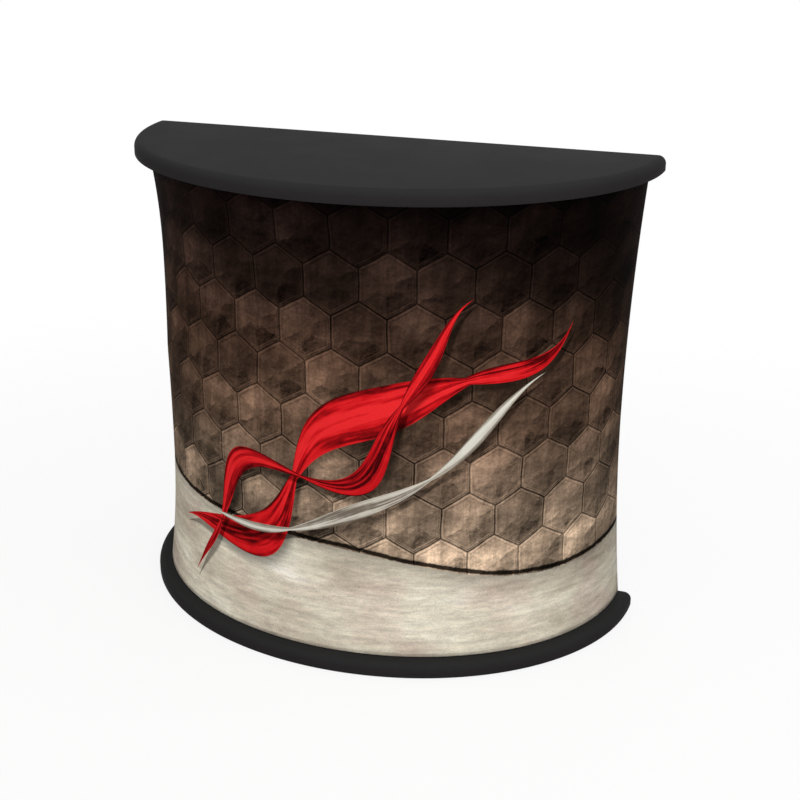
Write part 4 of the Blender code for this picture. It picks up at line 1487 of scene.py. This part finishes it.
def spring_shape():
    """The strip's middle line, drawn in the YZ plane and widened along X."""
    route = [(SPRING_NEAR, SPRING_PAD), (SPRING_NEAR, -SPRING_PAD)]
    for step in range(SPRING_FOLD_STEPS + 1):
        bend = -math.pi * step / SPRING_FOLD_STEPS
        y = SPRING_MIDDLE + SPRING_FOLD_RADIUS * math.cos(bend)
        route.append((y, -SPRING_DROP + SPRING_FOLD_RADIUS * math.sin(bend)))
    route += [(SPRING_FAR, -SPRING_PAD), (SPRING_FAR, SPRING_PAD)]
    bm = bmesh.new()
    points = [bm.verts.new((-SPRING_WIDTH / 2, y, z)) for y, z in route]
    lines = [bm.edges.new(pair) for pair in zip(points, points[1:])]
    widened = bmesh.ops.extrude_edge_only(bm, edges=lines)
    bmesh.ops.translate(bm, verts=only(bmesh.types.BMVert, widened["geom"]), vec=(SPRING_WIDTH, 0, 0))
    return bm


spring_mesh = mesh_of("spring", spring_shape(), SPRING_STEEL)

# %% Put a button and a spring in each joint
for corner, axis in UPRIGHT_AXES.items():
    for level, height in levels.items():
        place = Matrix.Translation(axis + Vector((0, 0, height)))
        node = f"{level}_button_{corner}"
        show(
            f"{corner}_{level}_snap_button", button_mesh, body=node, instead_of=[node],
            place=place @ OUTWARD,
        )
        spring = show(
            f"{corner}_{level}_leaf_spring", spring_mesh, instead_of=[f"{level}_spring_{corner}"],
            place=place @ UPSIDE_DOWN if level == "top" else place,
        )
        strip = spring.modifiers.new("strip", "SOLIDIFY")
        strip.thickness, strip.offset = SPRING_STRIP, 0
        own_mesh(spring)

# %% [markdown]
# ## Screws, rivets and feet
#
# Small fasteners tell how a thing is put together. Cross-head screws hold the sockets and the rails, and a
# rivet holds each joiner in its lower tube. A screw head is turned like the rest, and two crossed slots are
# cut out of it. Each is turned a little differently, as a hand would leave it.

# %% Shape the fasteners
FASTENER_STEPS = 32
SCREW_RADIUS = 0.0042
SCREW_HEIGHT = 0.0024
SHANK_RADIUS = 0.0022
SHANK_DEPTH = 0.0006  # how far it reaches into what it holds
HEAD_SHAPE = ((1.0, 0.0), (1.0, 0.30), (0.93, 0.62), (0.72, 0.88), (0.40, 1.0), (0.0, 1.0))  # shares of both
SLOT_SIZE = (0.0050, 0.0010, 0.0026)
RIVET_PROFILE = [
    (0, -0.0004), (0.0034, -0.0004), (0.0034, 0.0002), (0.0030, 0.0009), (0.0019, 0.0012), (0.0014, 0.0009),
    (0.0012, 0.0002), (0, 0.0002),
]

screw_profile = [(0, -SHANK_DEPTH), (SHANK_RADIUS, -SHANK_DEPTH), (SHANK_RADIUS, 0)]
screw_profile += [(SCREW_RADIUS * out, SCREW_HEIGHT * up) for out, up in HEAD_SHAPE]
slot_shape = bmesh.new()
bmesh.ops.create_cube(slot_shape, size=1.0, matrix=Matrix.Diagonal((*SLOT_SIZE, 1)))
slot_mesh = mesh_of("slot", slot_shape)
head = Matrix.Translation((0, 0, SCREW_HEIGHT))
crossed = [head @ Matrix.Rotation(angle, 4, "Z") for angle in (0, math.pi / 2)]
screw_mesh = drilled(mesh_of("screw", turned(screw_profile, FASTENER_STEPS), ZINC), slot_mesh, crossed)
rivet_mesh = mesh_of("rivet", turned(RIVET_PROFILE, FASTENER_STEPS), DRAWN_ALUMINIUM)
print(f"screw: {len(screw_mesh.polygons)} faces, rivet: {len(rivet_mesh.polygons)} faces")

# %% Fit the fasteners
SCREW_CIRCLE_RADIUS = 0.0225
SCREWS_PER_FLANGE = 3
SCREWS_PER_RAIL = 9
RAIL_END_ANGLE = math.radians(5)
RIVET_DROP = 0.020  # below the lower tube's head
NEXT_TURN = math.radians(47)  # each fastener is turned this much further than the one before


def fitted(name, mesh, places):
    """One piece that holds a copy of the mesh at each place, each turned a little further."""
    bm = bmesh.new()
    for number, place in enumerate(places):
        copy = mesh.copy()
        copy.transform(place @ Matrix.Rotation(NEXT_TURN * number, 4, "Z"))
        bm.from_mesh(copy)
    return show(name, mesh_of(name, bm, *mesh.materials, outward=False))


for level, face, turn in (
    ("base", ends["base_socket"][0] + FLANGE, Matrix()), ("top", ends["top_socket"][1] - FLANGE, UPSIDE_DOWN)
):
    spots = []
    for axis in UPRIGHT_AXES.values():
        for number in range(SCREWS_PER_FLANGE):
            angle = math.pi / 2 + FULL_TURN * number / SCREWS_PER_FLANGE
            x, y = SCREW_CIRCLE_RADIUS * math.cos(angle), SCREW_CIRCLE_RADIUS * math.sin(angle)
            spots.append(Matrix.Translation(axis + Vector((x, y, face))) @ turn)
    fitted(f"{level}_socket_screws", screw_mesh, spots)
for level, face, turn in (
    ("base", rail_low.z + RAIL_FOOT_THICKNESS, Matrix()),
    ("top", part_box("top_rail")[1].z - RAIL_FOOT_THICKNESS, UPSIDE_DOWN),
):
    spots = []
    for number in range(SCREWS_PER_RAIL):
        angle = RAIL_END_ANGLE + (math.pi - 2 * RAIL_END_ANGLE) * number / (SCREWS_PER_RAIL - 1)
        spots.append(Matrix.Translation(on_curve(angle, foot_middle, face)) @ turn)
    fitted(f"{level}_rail_screws", screw_mesh, spots)
on_tube = Vector((0, TUBE_RADIUS, ends["lower_upright"][1] - RIVET_DROP))
spots = [Matrix.Translation(axis + on_tube) @ OUTWARD for axis in UPRIGHT_AXES.values()]
fitted("joiner_rivets", rivet_mesh, spots)

# %% Feet
FOOT_EASE = 0.0004
FOOT_STEPS = 48
for node in sorted(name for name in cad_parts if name.startswith("foot_")):
    low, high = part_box(node)
    pad = turned(pin((high.x - low.x) / 2, 0, high.z), FOOT_STEPS, ease=FOOT_EASE)
    name = node.replace("foot", "foot_pad")
    mesh = mesh_of(name, pad, RUBBER)
    show(name, mesh, instead_of=[node], place=Matrix.Translation(axis_of(node)))
    print(f"{name}: {len(mesh.polygons)} faces")

# %% Note that the cloth is in place
print("the cloth, its hems and its stitches are in place")

# %% [markdown]
# ## Floor, world and light
#
# The counter stands on a plain white floor in soft studio light, bright enough that a colour renders about
# as it is written. For the camera, and in reflections, floor and world are white by themselves, so the
# background stays white without more light on the counter.

# %% Floor and world
FLOOR_SIZE = 14.0
FLOOR_SEGMENTS = 64
FLOOR_SHARE = 0.84  # of the floor's look near the counter that is plain white
FADE_START, FADE_END = 1.0, 2.6  # from the counter; past this the floor is all white
FLOOR_COLOUR = (0.92, 0.92, 0.92)
BOUNCE_COLOUR = (0.66, 0.66, 0.66)  # what the floor gives back to the counter
WHITE = (1.0, 1.0, 1.0)
WORLD_LIGHT = 0.52


def seen_directly(wires):
    """One for rays that make the background: from the camera, off gloss, or through glass."""
    path = wires.add("LightPath", output="Is Camera Ray").node
    either = wires.math("MAXIMUM", path.outputs["Is Camera Ray"], path.outputs["Is Glossy Ray"])
    return wires.math("MAXIMUM", either, path.outputs["Is Transmission Ray"])


FLOOR, wires, shader = new_finish("studio_floor", Roughness=1.0, Specular_IOR_Level=0.0)
bounced = wires.add("LightPath", output="Is Diffuse Ray")
wires.fill(shader["Base Color"], wires.mix(bounced, FLOOR_COLOUR, BOUNCE_COLOUR))
white = wires.add("Emission", {"Color": WHITE, "Strength": 1.0})
distance = wires.vector("LENGTH", wires.add("TexCoord", output="Object"))
whitened = wires.step(distance, FADE_START, FADE_END, FLOOR_SHARE, 1.0)
share = wires.times(seen_directly(wires), whitened)
lit_floor = FLOOR.node_tree.nodes["Principled BSDF"].outputs[0]
both = wires.add("MixShader", {0: share, 1: lit_floor, 2: white})
wires.fill(FLOOR.node_tree.nodes["Material Output"].inputs["Surface"], both)
floor_shape = bmesh.new()
bmesh.ops.create_circle(floor_shape, cap_ends=True, segments=FLOOR_SEGMENTS, radius=FLOOR_SIZE / 2)
floor = new_object("studio_floor", mesh_of("studio_floor", floor_shape, FLOOR, outward=False))

world = bpy.data.worlds.new("studio")
world.use_nodes = True
bpy.context.scene.world = world
wires = Wires(world.node_tree)
background = world.node_tree.nodes["Background"].inputs
strength = wires.times_plus(seen_directly(wires), 1 - WORLD_LIGHT, WORLD_LIGHT)
wires.fill(background["Color"], WHITE)
wires.fill(background["Strength"], strength)

# %% Lamps
LAMP_TARGET = Vector((0, 0, 0.5))
LAMPS = (
    # name, place, size, power
    ("overhead_softbox", (0.7, -0.9, 3.6), 3.0, 57.0),
    ("front_softbox", (1.3, -3.9, 1.5), 3.0, 43.0),
    ("right_softbox", (3.6, -0.6, 1.4), 2.4, 6.0),
    ("rear_softbox", (-0.4, 3.2, 0.55), 1.5, 26.0),
)
for name, place, size, power in LAMPS:
    lamp = new_object(name, bpy.data.lights.new(name, "AREA"))
    lamp.data.size, lamp.data.energy = size, power
    lamp.location = place
    lamp.rotation_mode = "QUATERNION"
    lamp.rotation_quaternion = (Vector(place) - LAMP_TARGET).to_track_quat("Z", "Y")
bpy.context.scene.view_settings.view_transform = "Standard"
print("lamps:", [name for name, *rest in LAMPS])
